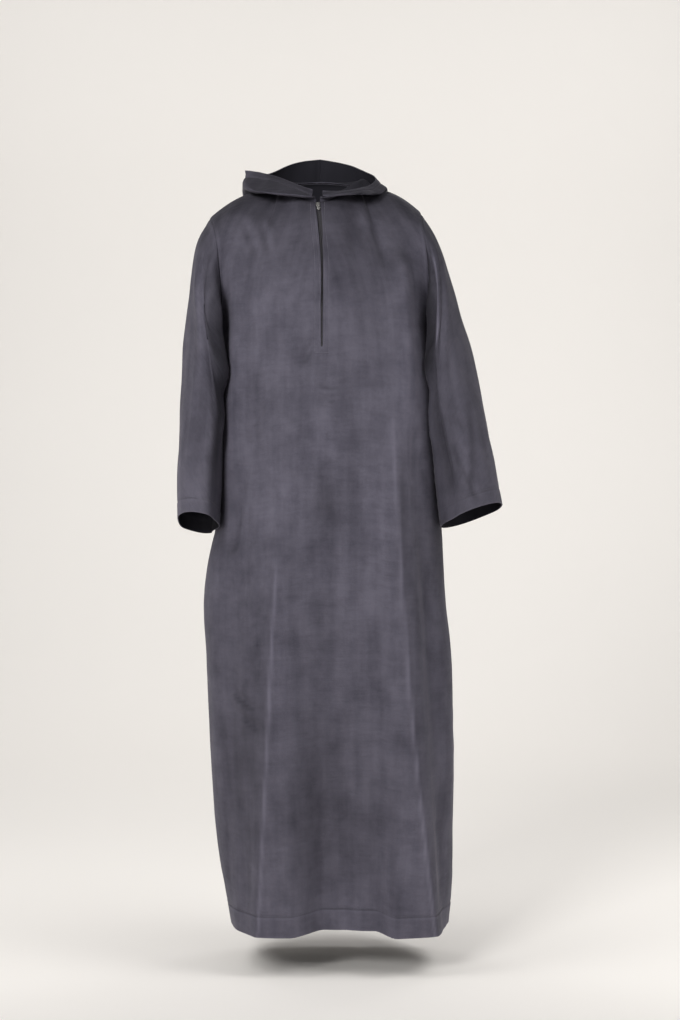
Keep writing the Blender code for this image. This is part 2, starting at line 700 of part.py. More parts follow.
class Cloth:
    """One cut piece: a grid of outer points that gets a wall and seam edges."""

    def __init__(self, name, points, outward_sign, wraps=False):
        self.name = name
        self.points = points
        self.wraps = wraps
        self.normals = surface_normals(points, wraps) * outward_sign
        self.sign = outward_sign
        cells = (points.shape[0] - 1, points.shape[1] - (0 if wraps else 1))
        self.kept = np.ones(cells, bool)

    def cell_corners(self, row, column):
        """The four grid places of a cell, in order round it."""
        after = (column + 1) % self.points.shape[1]
        return [(row, column), (row, after), (row + 1, after), (row + 1, column)]

    def border(self):
        """Directed border edges of the kept cells."""
        edges = set()
        for row, column in zip(*np.nonzero(self.kept)):
            corners = self.cell_corners(row, column)
            for start, end in zip(corners, corners[1:] + corners[:1]):
                if (end, start) in edges:
                    edges.remove((end, start))
                else:
                    edges.add((start, end))
        return sorted(edges)

    def step_in(self, place):
        """The direction from a border place into the piece, square to its edge."""
        row, column = place
        rows, columns = self.points.shape[:2]
        here = self.points[place]
        inward = np.zeros(3)
        if row in (0, rows - 1):
            after = (column + 1) % columns if self.wraps else min(column + 1, columns - 1)
            before = column - 1 if self.wraps else max(column - 1, 0)
            edge = unit(self.points[row, after] - self.points[row, before])
            step = self.points[1 if row == 0 else rows - 2, column] - here
            inward += unit(step - edge * (step @ edge))
        if not self.wraps and column in (0, columns - 1):
            before, after = max(row - 1, 0), min(row + 1, rows - 1)
            edge = unit(self.points[after, column] - self.points[before, column])
            step = self.points[row, 1 if column == 0 else columns - 2] - here
            inward += unit(step - edge * (step @ edge))
        return inward


def seam_key(point):
    """A key that two pieces share where their edges meet."""
    return tuple(np.round(point * 1e6).astype(int))


def sew(pieces):
    """Finds where the pieces' edges meet: the shared direction and length of the wall there."""
    met = {}
    for piece in pieces:
        for place in {start for start, _end in piece.border()}:
            key = seam_key(piece.points[place])
            met.setdefault(key, []).append((piece.wraps, piece.normals[place]))
    shared = {}
    for key, found in met.items():
        if len(found) > 1:
            normals = [normal for _wraps, normal in found]
            panels = [normal for wraps, normal in found if not wraps]
            sleeves = [normal for wraps, normal in found if wraps]
            mean = unit(sum(unit(sum(group)) for group in (panels, sleeves) if group))
            lean = max(float(np.mean([mean @ normal for normal in normals])), 0.75)
            shared[key] = mean / lean
    return shared


def wall_mesh(piece, shared):
    """The closed wall of a piece: outer face, inner face and the edges between them."""
    border = piece.border()
    on_border = {start for start, _end in border}
    outer, inner, index = [], [], {}
    used = sorted({c for cell in zip(*np.nonzero(piece.kept)) for c in piece.cell_corners(*cell)})
    for place in used:
        point = piece.points[place]
        reach = piece.normals[place]
        if place in on_border:
            key = seam_key(point)
            if key in shared:
                reach = shared[key]
                point = point + piece.step_in(place) * 0.5 * SEAM_GAP
        index[place] = len(outer)
        outer.append(point)
        inner.append(point - reach * WALL)
    count = len(outer)
    faces = []
    for row, column in zip(*np.nonzero(piece.kept)):
        a, b, c, d = [index[corner] for corner in piece.cell_corners(row, column)]
        if np.linalg.norm(outer[a] - outer[c]) <= np.linalg.norm(outer[b] - outer[d]):
            halves = [(a, b, c), (a, c, d)]
        else:
            halves = [(a, b, d), (b, c, d)]
        for half in halves:
            faces.append(half)
            faces.append(tuple(count + v for v in reversed(half)))
    for start, end in border:
        a, b = index[start], index[end]
        if seam_key(piece.points[start]) < seam_key(piece.points[end]):
            faces.append((b, a, count + a))
            faces.append((b, count + a, count + b))
        else:
            faces.append((b, a, count + b))
            faces.append((a, count + a, count + b))
    if piece.sign < 0:
        faces = [tuple(reversed(face)) for face in faces]
    return np.array(outer + inner), faces


def make_material(name, colour, metallic, roughness):
    """A plain material of its own for one object."""
    material = bpy.data.materials.new(name)
    material.use_nodes = True
    shader = material.node_tree.nodes["Principled BSDF"]
    shader.inputs["Base Color"].default_value = (*colour, 1.0)
    shader.inputs["Metallic"].default_value = metallic
    shader.inputs["Roughness"].default_value = roughness
    return material


def add_object(name, mesh, colour, metallic, roughness):
    """Puts a finished mesh into the scene under the node's name."""
    obj = bpy.data.objects.new(name, mesh)
    obj.data.materials.append(make_material(name + "_finish", colour, metallic, roughness))
    bpy.context.scene.collection.objects.link(obj)
    return obj


def mesh_from(name, points, faces):
    """A mesh from points and faces."""
    mesh = bpy.data.meshes.new(name)
    mesh.from_pydata([tuple(p) for p in points], [], [tuple(f) for f in faces])
    mesh.update()
    return mesh


# ---------------------------------------------------------------- zip
@dataclass(frozen=True)
class TapeStation:
    """One ring of the tape: between which rows of the front panel it lies, and its coil."""

    row: int
    share: float
    rise: float


def tape_stations(rows):
    """The rings of the tape from below the slit's closed end up to the neck."""
    end_row = LOWER_ROWS.index(SLIT_LOW_Z)
    stations = [
        TapeStation(end_row - 1, 0.72, COIL_SUNK),
        TapeStation(end_row, 0.02, COIL_SUNK),
        TapeStation(end_row, 0.10, COIL_RISE),
    ]
    stations += [TapeStation(row, 0.0, COIL_RISE) for row in range(end_row + 1, rows - 1)]
    stations.append(TapeStation(rows - 2, 0.85, COIL_RISE))
    return stations


def tape_outline(front, station):
    """The tape's section: two wings with the coil standing between them."""
    left = SLIT_COLUMN
    ring = slice(left - 1, left + 3)
    low, high = front.points[station.row, ring], front.points[station.row + 1, ring]
    far_left, edge_left, edge_right, far_right = low + (high - low) * station.share
    low_out = front.normals[station.row, left] + front.normals[station.row, left + 1]
    high_out = front.normals[station.row + 1, left] + front.normals[station.row + 1, left + 1]
    out = unit(low_out + (high_out - low_out) * station.share)
    across = unit(edge_right - edge_left)
    middle = 0.5 * (edge_left + edge_right)
    face = -out * (WALL + SEAM_GAP)
    back = -out * (WALL + SEAM_GAP + TAPE_THICK)
    reach = TAPE_HALF - 0.5 * SLIT_WIDTH
    wing_left = edge_left + unit(far_left - edge_left) * reach
    wing_right = edge_right + unit(far_right - edge_right) * reach
    coil = across * COIL_HALF
    top = face + out * station.rise
    return (
        wing_left + face,
        middle - coil + face,
        middle - coil + top,
        middle + coil + top,
        middle + coil + face,
        wing_right + face,
        wing_right + back,
        middle + coil + back,
        middle - coil + back,
        wing_left + back,
    )


def build_tape(front):
    """The zip tape with its coil, laid behind the slit from the front panel's own points."""
    stations = tape_stations(front.points.shape[0])
    grid = np.array([tape_outline(front, station) for station in stations])
    count = grid.shape[1]
    faces = []
    for row in range(grid.shape[0] - 1):
        for k in range(count):
            a = row * count + k
            b = row * count + (k + 1) % count
            faces.append((a, b, b + count))
            faces.append((a, b + count, a + count))
    last = (grid.shape[0] - 1) * count
    for cap in TAPE_CAPS:
        faces.append(tuple(reversed(cap)))
        faces.append(tuple(last + k for k in cap))
    return grid.reshape(-1, 3), faces


@dataclass(frozen=True)
class ZipFrame:
    """Where the slider sits: its middle on the cloth, and the ways across, down and out."""

    centre: np.ndarray
    across: np.ndarray
    down: np.ndarray
    out: np.ndarray

    def place(self, across, down, out):
        """A point given by the slider's own measures."""
        return self.centre + self.across * across + self.down * down + self.out * out


def zip_frame(front):
    """The slider's frame, on the front panel just under the neck."""
    left = SLIT_COLUMN
    rows = front.points.shape[0]
    low = 0.5 * (front.points[rows - 2, left] + front.points[rows - 2, left + 1])
    high = 0.5 * (front.points[rows - 1, left] + front.points[rows - 1, left + 1])
    down = unit(low - high)
    centre = high + down * SLIDER_DROP
    across = unit(np.cross(np.cross(down, (1.0, 0.0, 0.0)), down))
    return ZipFrame(centre, across, down, unit(np.cross(across, down)) * -1.0)


def prism(frame, outline, low, high, along):
    """A closed prism: an outline in two of the frame's ways, drawn out along the third."""
    order = {"across": (2, 0, 1), "out": (0, 1, 2)}[along]
    points = []
    for level in (low, high):
        for first, second in outline:
            measures = (first, second, level)
            points.append(frame.place(*(measures[k] for k in order)))
    mesh = bmesh.new()
    verts = [mesh.verts.new(point) for point in points]
    count = len(outline)
    mesh.faces.new(verts[:count])
    mesh.faces.new(verts[count:][::-1])
    for k in range(count):
        after = (k + 1) % count
        mesh.faces.new((verts[k], verts[k + count], verts[after + count], verts[after]))
    bmesh.ops.recalc_face_normals(mesh, faces=mesh.faces)
    return mesh


def mesh_of(name, made):
    """Turns a bmesh into a mesh."""
    mesh = bpy.data.meshes.new(name)
    made.to_mesh(mesh)
    made.free()
    return mesh


def join_with(obj, name, made, operation):
    """Joins or cuts an object with a helper solid that stays hidden."""
    helper = bpy.data.objects.new(name, mesh_of(name, made))
    helper.hide_render = True
    helper.display_type = "WIRE"
    bpy.context.scene.collection.objects.link(helper)
    modifier = obj.modifiers.new(name, "BOOLEAN")
    modifier.operation = operation
    modifier.solver = "EXACT"
    modifier.object = helper


def build_slider(frame):
    """The slider: a tapered plate, a rib that rides over the coil and a bridge for the pull."""
    half, low_half, length = SLIDER_HALF, SLIDER_LOW_HALF, 0.5 * SLIDER_LENGTH
    cut = 0.0012
    plate = (
        (-half + cut, -length), (half - cut, -length), (half, -length + cut),
        (half, -0.2 * length), (low_half, length - cut), (low_half - cut, length),
        (-low_half + cut, length), (-low_half, length - cut), (-half, -0.2 * length),
        (-half, -length + cut),
    )  # fmt: skip
    face = SEAM_GAP + SLIDER_THICK
    made = prism(frame, plate, SEAM_GAP, face, "out")
    slider = add_object("zip_slider", mesh_of("zip_slider", made), METAL_COLOUR, 1.0, 0.3)
    rib = ((-0.0018, -0.0044), (0.0018, -0.0044), (0.0014, 0.0044), (-0.0014, 0.0044))
    join_with(slider, "slider_rib", prism(frame, rib, -0.0003, face - 0.0004, "out"), "UNION")
    hole, leg, rise = BRIDGE_HOLE, BRIDGE_LEG, BRIDGE_RISE
    foot = face - 0.0003
    bridge = (
        (-hole - leg, foot), (-hole - 0.6 * leg, face + 0.8 * rise), (-hole, face + rise),
        (hole, face + rise), (hole + 0.6 * leg, face + 0.8 * rise), (hole + leg, foot),
        (hole, foot), (hole, face + rise - leg - 0.0004), (hole - 0.0004, face + rise - leg),
        (-hole + 0.0004, face + rise - leg), (-hole, face + rise - leg - 0.0004), (-hole, foot),
    )  # fmt: skip
    arch = prism(frame, bridge, -BRIDGE_HALF, BRIDGE_HALF, "across")
    join_with(slider, "slider_bridge", arch, "UNION")


def build_pull(frame):
    """The pull tab: a flat ring whose top bar lies under the bridge, and a tab below it."""
    pivot_out = SEAM_GAP + SLIDER_THICK + PULL_LIFT
    half, window = PULL_HALF, PULL_WINDOW_HALF
    top = PIVOT_DOWN - 0.5 * PULL_THICK
    low = PIVOT_DOWN + PULL_LENGTH
    cut = 0.0010
    outline = (
        (-half, top), (half, top), (half, PIVOT_DOWN + 0.0074), (PULL_TAB_HALF, PIVOT_DOWN + 0.0086),
        (PULL_TAB_HALF, low - cut), (PULL_TAB_HALF - cut, low), (-PULL_TAB_HALF + cut, low),
        (-PULL_TAB_HALF, low - cut), (-PULL_TAB_HALF, PIVOT_DOWN + 0.0086),
        (-half, PIVOT_DOWN + 0.0074),
    )  # fmt: skip
    low_face, high_face = pivot_out - 0.5 * PULL_THICK, pivot_out + 0.5 * PULL_THICK
    made = prism(frame, outline, low_face, high_face, "out")
    pull = add_object("zip_pull", mesh_of("zip_pull", made), METAL_COLOUR, 1.0, 0.3)
    opening = (
        (-window, PIVOT_DOWN + 0.5 * PULL_THICK), (window, PIVOT_DOWN + 0.5 * PULL_THICK),
        (window, PIVOT_DOWN + 0.0060), (0.5 * window, PIVOT_DOWN + 0.0066),
        (-0.5 * window, PIVOT_DOWN + 0.0066), (-window, PIVOT_DOWN + 0.0060),
    )  # fmt: skip
    cutter = prism(frame, opening, low_face - 0.001, high_face + 0.001, "out")
    join_with(pull, "pull_window", cutter, "DIFFERENCE")


def body_cloth():
    """The front panel, with its slit cut open, and the back panel."""
    upper = np.linspace(0.0, 1.0, UPPER_ROWS + 1)[1:]
    front_panel, back_panel = BodyPanel(True), BodyPanel(False)
    front = Cloth("front_panel", front_panel.grid(front_panel.columns(), LOWER_ROWS, upper), 1.0)
    back = Cloth("back_panel", back_panel.grid(back_panel.columns(), LOWER_ROWS, upper), -1.0)
    front.kept[LOWER_ROWS.index(SLIT_LOW_Z) :, SLIT_COLUMN] = False
    return front, back


def cloth_tree(pieces):
    """The outer faces of some pieces, for other cloth to lie on."""
    points, faces = [], []
    for piece in pieces:
        columns = piece.points.shape[1]
        start = sum(len(part) for part in points)
        points.append(piece.points.reshape(-1, 3))
        for row, column in np.ndindex(piece.kept.shape):
            corners = [start + r * columns + c for r, c in piece.cell_corners(row, column)]
            faces.append(corners if piece.sign > 0 else corners[::-1])
    return BVHTree.FromPolygons(np.concatenate(points).tolist(), faces)


def sleeve_cloth(front, back):
    """The two sleeves, from the panels' armhole edges."""
    tree = cloth_tree((front, back))
    armpit = len(LOWER_ROWS) - 1
    sleeves = []
    for hand, name in ((-1, "sleeve_right"), (1, "sleeve_left")):
        column = 0 if hand < 0 else -1
        sleeve = Sleeve(hand, front.points[armpit:, column], back.points[armpit:, column], tree)
        sleeves.append(Cloth(name, sleeve.grid(SLEEVE_SHARES), float(-hand), wraps=True))
    return sleeves


def hood_cloth(front, back, tree):
    """The two halves of the hood, from the panels' neck edges."""
    top_front, top_back = front.points[-1], back.points[-1]
    nape = SHOULDER_CELLS + NECK_BACK_CELLS
    ahead_right = top_front[SHOULDER_CELLS : SLIT_COLUMN + 1][::-1]
    ahead_left = top_front[SLIT_COLUMN + 1 : -SHOULDER_CELLS][::-1]
    necks = {
        -1: np.concatenate([ahead_right, top_back[SHOULDER_CELLS + 1 : nape + 1]]),
        1: np.concatenate([top_back[nape : -SHOULDER_CELLS - 1], ahead_left]),
    }
    halves = []
    for hand, name in ((-1, "hood_right"), (1, "hood_left")):
        neck = necks[hand]
        angles = np.degrees(np.arctan2(neck[:, 1] - NECK_CENTRE_Y, neck[:, 0]))
        if hand < 0:
            angles = np.where(angles > 0.0, angles - 360.0, angles)
        half = HoodHalf(hand, neck, angles, tree)
        halves.append(Cloth(name, half.grid(HOOD_PLACES), -1.0))
    return halves


def main():
    """Builds every piece of the robe."""
    for obj in list(bpy.data.objects):
        bpy.data.objects.remove(obj, do_unlink=True)
    front, back = body_cloth()
    sleeves = sleeve_cloth(front, back)
    hoods = hood_cloth(front, back, cloth_tree((front, back, *sleeves)))
    pieces = (front, back, *sleeves, *hoods)
    shared = sew(pieces)
    for piece in pieces:
        mesh = mesh_from(piece.name, *wall_mesh(piece, shared))
        add_object(piece.name, mesh, CLOTH_COLOUR, 0.0, 0.9)
    tape = mesh_from("zip_tape", *build_tape(front))
    add_object("zip_tape", tape, TAPE_COLOUR, 0.0, 0.7)
    frame = zip_frame(front)
    build_slider(frame)
    build_pull(frame)


main()
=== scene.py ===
"""Looks of the hooded thobe robe: worn velour cloth, sewing, zip and a plain studio.

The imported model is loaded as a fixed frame. Each cloth piece is laid again over its solid as a
finer sheet, cut from the same rows and folds, then given its creases, hems and stitches.
Metres, +Z up, the front faces -Y and the wearer's right side is at -X.
"""

from __future__ import annotations

import json
import logging
import math
from dataclasses import dataclass, field, replace
from enum import Enum
from typing import Any, Sequence

import bmesh
import bpy
import numpy as np
from mathutils import Matrix, Vector, noise
from mathutils.bvhtree import BVHTree

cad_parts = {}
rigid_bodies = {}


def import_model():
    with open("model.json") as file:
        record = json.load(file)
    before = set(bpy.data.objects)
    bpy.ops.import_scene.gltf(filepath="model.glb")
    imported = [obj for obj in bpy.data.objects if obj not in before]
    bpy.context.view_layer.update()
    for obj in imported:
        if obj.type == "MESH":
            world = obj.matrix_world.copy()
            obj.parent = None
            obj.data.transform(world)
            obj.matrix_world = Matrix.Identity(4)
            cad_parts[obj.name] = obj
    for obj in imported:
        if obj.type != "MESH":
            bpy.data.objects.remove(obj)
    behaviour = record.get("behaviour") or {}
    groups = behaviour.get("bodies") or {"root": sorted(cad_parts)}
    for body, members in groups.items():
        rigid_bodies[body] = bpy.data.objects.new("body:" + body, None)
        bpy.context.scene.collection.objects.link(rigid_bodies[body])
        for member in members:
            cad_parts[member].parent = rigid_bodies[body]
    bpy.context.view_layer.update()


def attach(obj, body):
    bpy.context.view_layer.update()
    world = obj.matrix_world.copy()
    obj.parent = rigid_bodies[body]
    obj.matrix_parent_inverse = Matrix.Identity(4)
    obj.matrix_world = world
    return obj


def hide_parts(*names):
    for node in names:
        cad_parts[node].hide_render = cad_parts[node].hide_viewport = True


Array = np.ndarray
Place = tuple[float, float, float]
Colour = tuple[float, float, float]
Material = bpy.types.Material
LOG = logging.getLogger("thobe_robe")


class WearerSide(Enum):
    """The wearer's two sides, by the sign of X."""

    RIGHT = -1
    LEFT = 1


class PanelFace(Enum):
    """The two body panels, by the sign of Y."""

    FRONT = -1
    BACK = 1


# ---------------- driving sizes
CLOTH = 0.0018
ARMPIT_Z = -0.262
HEM_Z = -1.390
SIDE_SEAM_Y = 0.022

SLIT_WIDTH = 0.0030
SLIT_TOP_X = -0.0036
SLIT_LOW_X = 0.0048
SLIT_TOP_Z = -0.036
SLIT_LOW_Z = -0.308
SLIT_BEND = 0.120
NECK_RADIUS_X = 0.074
NECK_RADIUS_FRONT = 0.083
NECK_RADIUS_BACK = 0.075
NECK_CENTRE_Y = -0.005
NECK_FRONT_Z = -0.036
NECK_SIDE_Z = 0.010
NECK_BACK_Z = 0.024
NECK_HALF_V = 0.0045
NECK_DIP_POWER = 2.2
UNDERARM_FLARE = 0.006
UNDERARM_RISE = 0.028
FLARE_POWER = 10
SHOULDER_SHARE = 0.50
# The shoulder's crown, which is fuller toward its tip.
SHOULDER_CROWN = 0.012
CROWN_FULL = 1.4
CROWN_FALL = 0.8
BACK_SQUARE = 2.2
# How a panel leaves the armpit level: the two depths below it that give the way up, and how far.
LEAVE_DEPTHS = (0.029, 0.040)
FRONT_LEAVE = 0.30
BACK_LEAVE = 0.32
# How a panel arrives at the shoulder seam and at the neckline: inward and up.
SHOULDER_ARRIVE = (0.22, 0.035)
NECK_ARRIVE = (0.10, 0.17)
SLIT_ARRIVE = 3.0
# How far from the middle the neckline and the slit act on the columns, and over what run.
NECK_PULL = (1.4, 0.9)
NECK_NEAR = (1.5, 0.5)
SLIT_NEAR = (1.7, 1.2)
ARMHOLE_REACH = 1.25

# Cells of the fine grids, closer beside seams and round the zip. A panel's columns run from 0
# to 5: one shoulder, a neck half, the slit, the other neck half and the other shoulder.
MIDDLE_COLUMN = 2.5
LAST_COLUMN = 5.0
SHOULDER_CELLS = 42
NECK_CELLS = 26
LIP_CELLS = 12
LIP_SHARE = 0.125
SLIT_CELLS = 2
NEAR_SLIT = (-30, 32)
SECTION_SAMPLES = 801
LOWER_STEP = 0.0062
FINE_STEP = 0.0016
LOWER_ROOM = 0.6 * FINE_STEP
HEM_LINE_STEPS = (-3, 4)
HEM_EDGE_STEPS = (0, 3)
BOX_LINE_STEPS = (-2, 3)
UPPER_ROWS = 42
SEAM_SHARES = np.array((0.004, 0.011, 0.019))
SLEEVE_RINGS = 96
CUFF_SHARES = (0.0030, 0.0060, 0.0410, 0.0440, 0.0490, 0.0520)
CUFF_ROOM = 0.0015
HOOD_CELLS = 110
HOOD_NECK_PLACES = (0.0, 0.03)
HOOD_RIM_PLACES = (9.95, 9.985, 10.0)
HOOD_EVENING = 24

# Sewing.
HEM_TURN = 0.040
CUFF_TURN = 0.028
RIM_TURN = 0.014
LIP_STITCH = 0.0048
BOX_STITCH = 0.0128
BOX_DROP = 0.0110

# Painted highlight along a pressed crest, partly pressed-flat pile: its strength and width, and how
# soon the painted shade on the plane beyond a crest is full.
CREST_HIGHLIGHT = 0.42
CREST_WIDTH = 0.0028
CREST_EDGE = 0.0060

# Painted shade on cloth that faces up, as under the hood: how much darker, and the upward lean at
# which it is full.
UPWARD_PAINTED_SHADE = 0.58
UPWARD_SHADE_FULL = 0.70
# Painted shade on the planes beyond the pressed creases, which turn away: how much darker they are.
CREASE_PLANE_PAINTED_SHADE = 0.13

# Where each sheet's unevenness starts in the noise.
FRONT_SEED = 3.7
BACK_SEED = 21.3
SLEEVE_SEED = 40.1
HOOD_SEED = 60.7
PUCKER_SEED = 7.0


# ---------------- curves and surfaces
def smooth_step(value: Array | float) -> Array:
    """Gives 0 below 0, 1 above 1 and a soft curve between them.

    Args:
        value: A number or an array of numbers.

    Returns:
        The eased values, as an array.
    """
    clipped = np.clip(value, 0.0, 1.0)
    return clipped * clipped * (3.0 - 2.0 * clipped)


def soft_table(at: Array | float, knots: Sequence[float], values: Sequence[float]) -> Array:
    """Reads a table between its knots, on a curve with no corners.

    Args:
        at: Where to read the table.
        knots: The places of the table's rows, in any order.
        values: The value at each knot.

    Returns:
        The values at the wanted places.
    """
    order = np.argsort(knots)
    x = np.asarray(knots, float)[order]
    y = np.asarray(values, float)[order]
    slope = np.gradient(y, x)
    place = np.clip(at, x[0], x[-1])
    index = np.clip(np.searchsorted(x, place) - 1, 0, len(x) - 2)
    step = x[index + 1] - x[index]
    u = (place - x[index]) / step
    start = (1.0 + 2.0 * u) * (1.0 - u) ** 2 * y[index]
    end = u * u * (3.0 - 2.0 * u) * y[index + 1]
    lean = u * (1.0 - u) ** 2 * slope[index] - u * u * (1.0 - u) * slope[index + 1]
    return start + end + step * lean


def bell(offset: Array, width: Array | float, power: float = 2.0) -> Array:
    """Gives 1 at no offset, 0.37 at the width and almost 0 beyond twice the width."""
    return np.exp(-(np.abs(offset / width) ** power))


def fade_ends(share: Array, first: float, last: float, past: float = 0.0) -> Array:
    """Gives 1 in the middle of a length, eased to 0 at its two ends.

    Args:
        share: The share of the way along the length.
        first: The share over which it rises.
        last: The share over which it falls.
        past: How far beyond the two ends it starts and stops.

    Returns:
        Values from 0 to 1.
    """
    return smooth_step((share + past) / first) * smooth_step((1.0 + past - share) / last)


def rows_of(kind: type, *rows: Sequence[float]) -> tuple[Any, ...]:
    """Gives one item of a kind for each row of its fields' values."""
    return tuple(kind(*row) for row in rows)


def read_rows(rows: Sequence[Any], key: str, at: float) -> dict[str, float]:
    """Reads every measure of a table between its rows.

    Args:
        rows: The table's rows, all of one dataclass.
        key: The field that says where a row lies.
        at: Where to read the table.

    Returns:
        The measures, by the names of their fields.
    """
    knots = [getattr(row, key) for row in rows]
    names = [name for name in rows[0].__dataclass_fields__ if name != key]
    return {n: float(soft_table(at, knots, [getattr(row, n) for row in rows])) for n in names}


def line_run(points: Array) -> Array:
    """Gives the length along a line of points from its first point."""
    steps = np.linalg.norm(np.diff(points, axis=0), axis=1)
    return np.concatenate([[0.0], np.cumsum(steps)])


def read_line(at: Array | float, run: Array, points: Array) -> Array:
    """Gives the place at a length along a line of points, or at several.

    Args:
        at: The length or lengths.
        run: The length at each point.
        points: The points.

    Returns:
        The place or places.
    """
    return np.stack([np.interp(at, run, points[:, k]) for k in range(3)], axis=-1)


def unit(vectors: Array) -> Array:
    """Gives the vectors at length 1."""
    length = np.linalg.norm(vectors, axis=-1, keepdims=True)
    return vectors / np.maximum(length, 1e-12)


def hermite(start: Array, start_lean: Array, end: Array, end_lean: Array, t: float) -> Array:
    """Gives a place on the curve that leaves start and reaches end along the two leans.

    Args:
        start: Where the curve starts.
        start_lean: How it leaves.
        end: Where it ends.
        end_lean: How it arrives.
        t: The share of the way, from 0 to 1.

    Returns:
        The place at t.
    """
    a = (1.0 + 2.0 * t) * (1.0 - t) ** 2
    b = t * (1.0 - t) ** 2
    c = t * t * (3.0 - 2.0 * t)
    d = -t * t * (1.0 - t)
    return a * start + b * start_lean + c * end + d * end_lean


def surface_normals(points: Array, wraps: bool) -> Array:
    """Gives a grid's normals from the steps along its rows and columns.

    Args:
        points: The grid, rows by columns by 3.
        wraps: Whether the last column is next to the first.

    Returns:
        Unit normals of the same shape.
    """
    rise = np.gradient(points, axis=0)
    if wraps:
        across = np.roll(points, -1, axis=1) - np.roll(points, 1, axis=1)
    else:
        across = np.gradient(points, axis=1)
    return unit(np.cross(across, rise))


def run_along(points: Array, axis: int, from_end: bool) -> Array:
    """Gives each point's length along the cloth from one end of its row or column.

    Args:
        points: The grid.
        axis: 0 to measure along the columns, 1 to measure along the rows.
        from_end: Whether the length starts at the last point instead of the first.

    Returns:
        Lengths, rows by columns.
    """
    steps = np.linalg.norm(np.diff(points, axis=axis), axis=-1)
    pad = [(0, 0), (0, 0)]
    pad[axis] = (1, 0)
    length = np.cumsum(np.pad(steps, pad), axis=axis)
    if from_end:
        whole = np.take(length, [-1], axis=axis)
        return whole - length
    return length


def uneven(points: Array, size: float, stretch: float, seed: float) -> Array:
    """Gives a smooth uneven value at each point, the same on every run.

    Args:
        points: Places, of any shape that ends in 3.
        size: How wide a patch is.
        stretch: How many times taller than wide a patch is.
        seed: Moves the pattern, so that two uses differ.

    Returns:
        Values from about -1 to 1.
    """
    scale = np.array((1.0 / size, 1.0 / size, 1.0 / (size * stretch)))
    places = points.reshape(-1, 3) * scale + seed
    values = [noise.noise(Vector(place)) for place in places]
    return np.array(values).reshape(points.shape[:-1])


@dataclass(frozen=True)
class Wave:
    """Uneven cloth at one size: how deep and how wide its patches are, and how stretched."""

    depth: float
    size: float
    stretch: float


PANEL_WAVES = rows_of(Wave, (0.0042, 0.150, 2.4), (0.0022, 0.062, 2.6), (0.0006, 0.022, 1.4))
SLEEVE_WAVES = rows_of(Wave, (0.0022, 0.075, 2.2), (0.0014, 0.036, 1.8))
HOOD_WAVES = rows_of(Wave, (0.0011, 0.040, 1.4), (0.0004, 0.016, 1.2))
PUCKERS = Wave(0.0009, 0.016, 2.5)


def softness(points: Array, waves: Sequence[Wave], seed: float) -> Array:
    """Tells how far a cloth's unevenness, of all its sizes, moves it at each point."""
    return sum(wave.depth * uneven(points, wave.size, wave.stretch, seed) for wave in waves)


# ---------------- body rows and folds
@dataclass(frozen=True)
class BodyRow:
    """One level of the body: its four extents and how square its corners are."""

    z: float
    left: float
    right: float
    front: float
    back: float
    left_square: float
    right_square: float


BODY_ROWS = rows_of(
    BodyRow,
    (-0.262, -0.186, 0.202, -0.126, 0.132, 2.1, 2.2),
    (-0.350, -0.190, 0.211, -0.131, 0.130, 2.1, 2.2),
    (-0.450, -0.193, 0.221, -0.138, 0.126, 2.1, 2.3),
    (-0.550, -0.193, 0.227, -0.140, 0.128, 2.1, 2.3),
    (-0.640, -0.197, 0.231, -0.140, 0.132, 2.1, 2.4),
    (-0.700, -0.210, 0.235, -0.140, 0.136, 2.2, 2.5),
    (-0.770, -0.219, 0.239, -0.141, 0.140, 2.2, 2.5),
    (-0.874, -0.217, 0.248, -0.142, 0.144, 2.2, 2.6),
    (-0.988, -0.213, 0.252, -0.144, 0.149, 2.2, 2.6),
    (-1.102, -0.207, 0.254, -0.147, 0.153, 2.2, 2.6),
    (-1.216, -0.198, 0.249, -0.150, 0.157, 2.2, 2.7),
    (-1.330, -0.180, 0.246, -0.152, 0.160, 2.2, 2.8),
    (-1.390, -0.168, 0.239, -0.153, 0.162, 2.3, 2.8),
)


@dataclass(frozen=True)
class Fold:
    """A standing ridge (height > 0) or trough (height < 0) that runs down a panel."""

    top_z: float
    low_z: float
    top_x: float
    mid_x: float
    low_x: float
    height: float
    left_width: float
    right_width: float
    ease_top: float = 0.15
    ease_low: float = 0.15
    power: float = 2.0

    def offset_and_ease(self, x: Array, z: Array) -> tuple[Array, Array]:
        """Tells how far each x, z is beside the fold's line, and how strong the fold is there.

        Args:
            x: The places' x.
            z: The places' z.

        Returns:
            The offsets and the strengths, from 0 to 1.
        """
        down = (self.top_z - z) / (self.top_z - self.low_z)
        line = soft_table(down, (0.0, 0.5, 1.0), (self.top_x, self.mid_x, self.low_x))
        return x - line, fade_ends(down, self.ease_top, self.ease_low)

    def lift(self, x: Array, z: Array) -> Array:
        """Tells how far the fold moves the cloth outward at each x, z.

        Args:
            x: The places' x.
            z: The places' z.

        Returns:
            The lifts.
        """
        offset, ease = self.offset_and_ease(x, z)
        width = np.where(offset < 0.0, self.left_width, self.right_width)
        return self.height * ease * bell(offset, width, self.power)

    def rubbed(self, x: Array, z: Array) -> Array:
        """Tells how strong the crest's painted highlight, partly pressed-flat pile, is at each x, z:
        only a narrow line along the crest.
        """
        offset, ease = self.offset_and_ease(x, z)
        return ease * bell(offset, CREST_WIDTH)

    def beyond(self, x: Array, z: Array, side: float) -> Array:
        """Tells how far each x, z lies in the plane beyond the crest, on the side of that sign, for
        the painted shade there.
        """
        offset, ease = self.offset_and_ease(x, z)
        return ease * smooth_step(side * offset / CREST_EDGE)


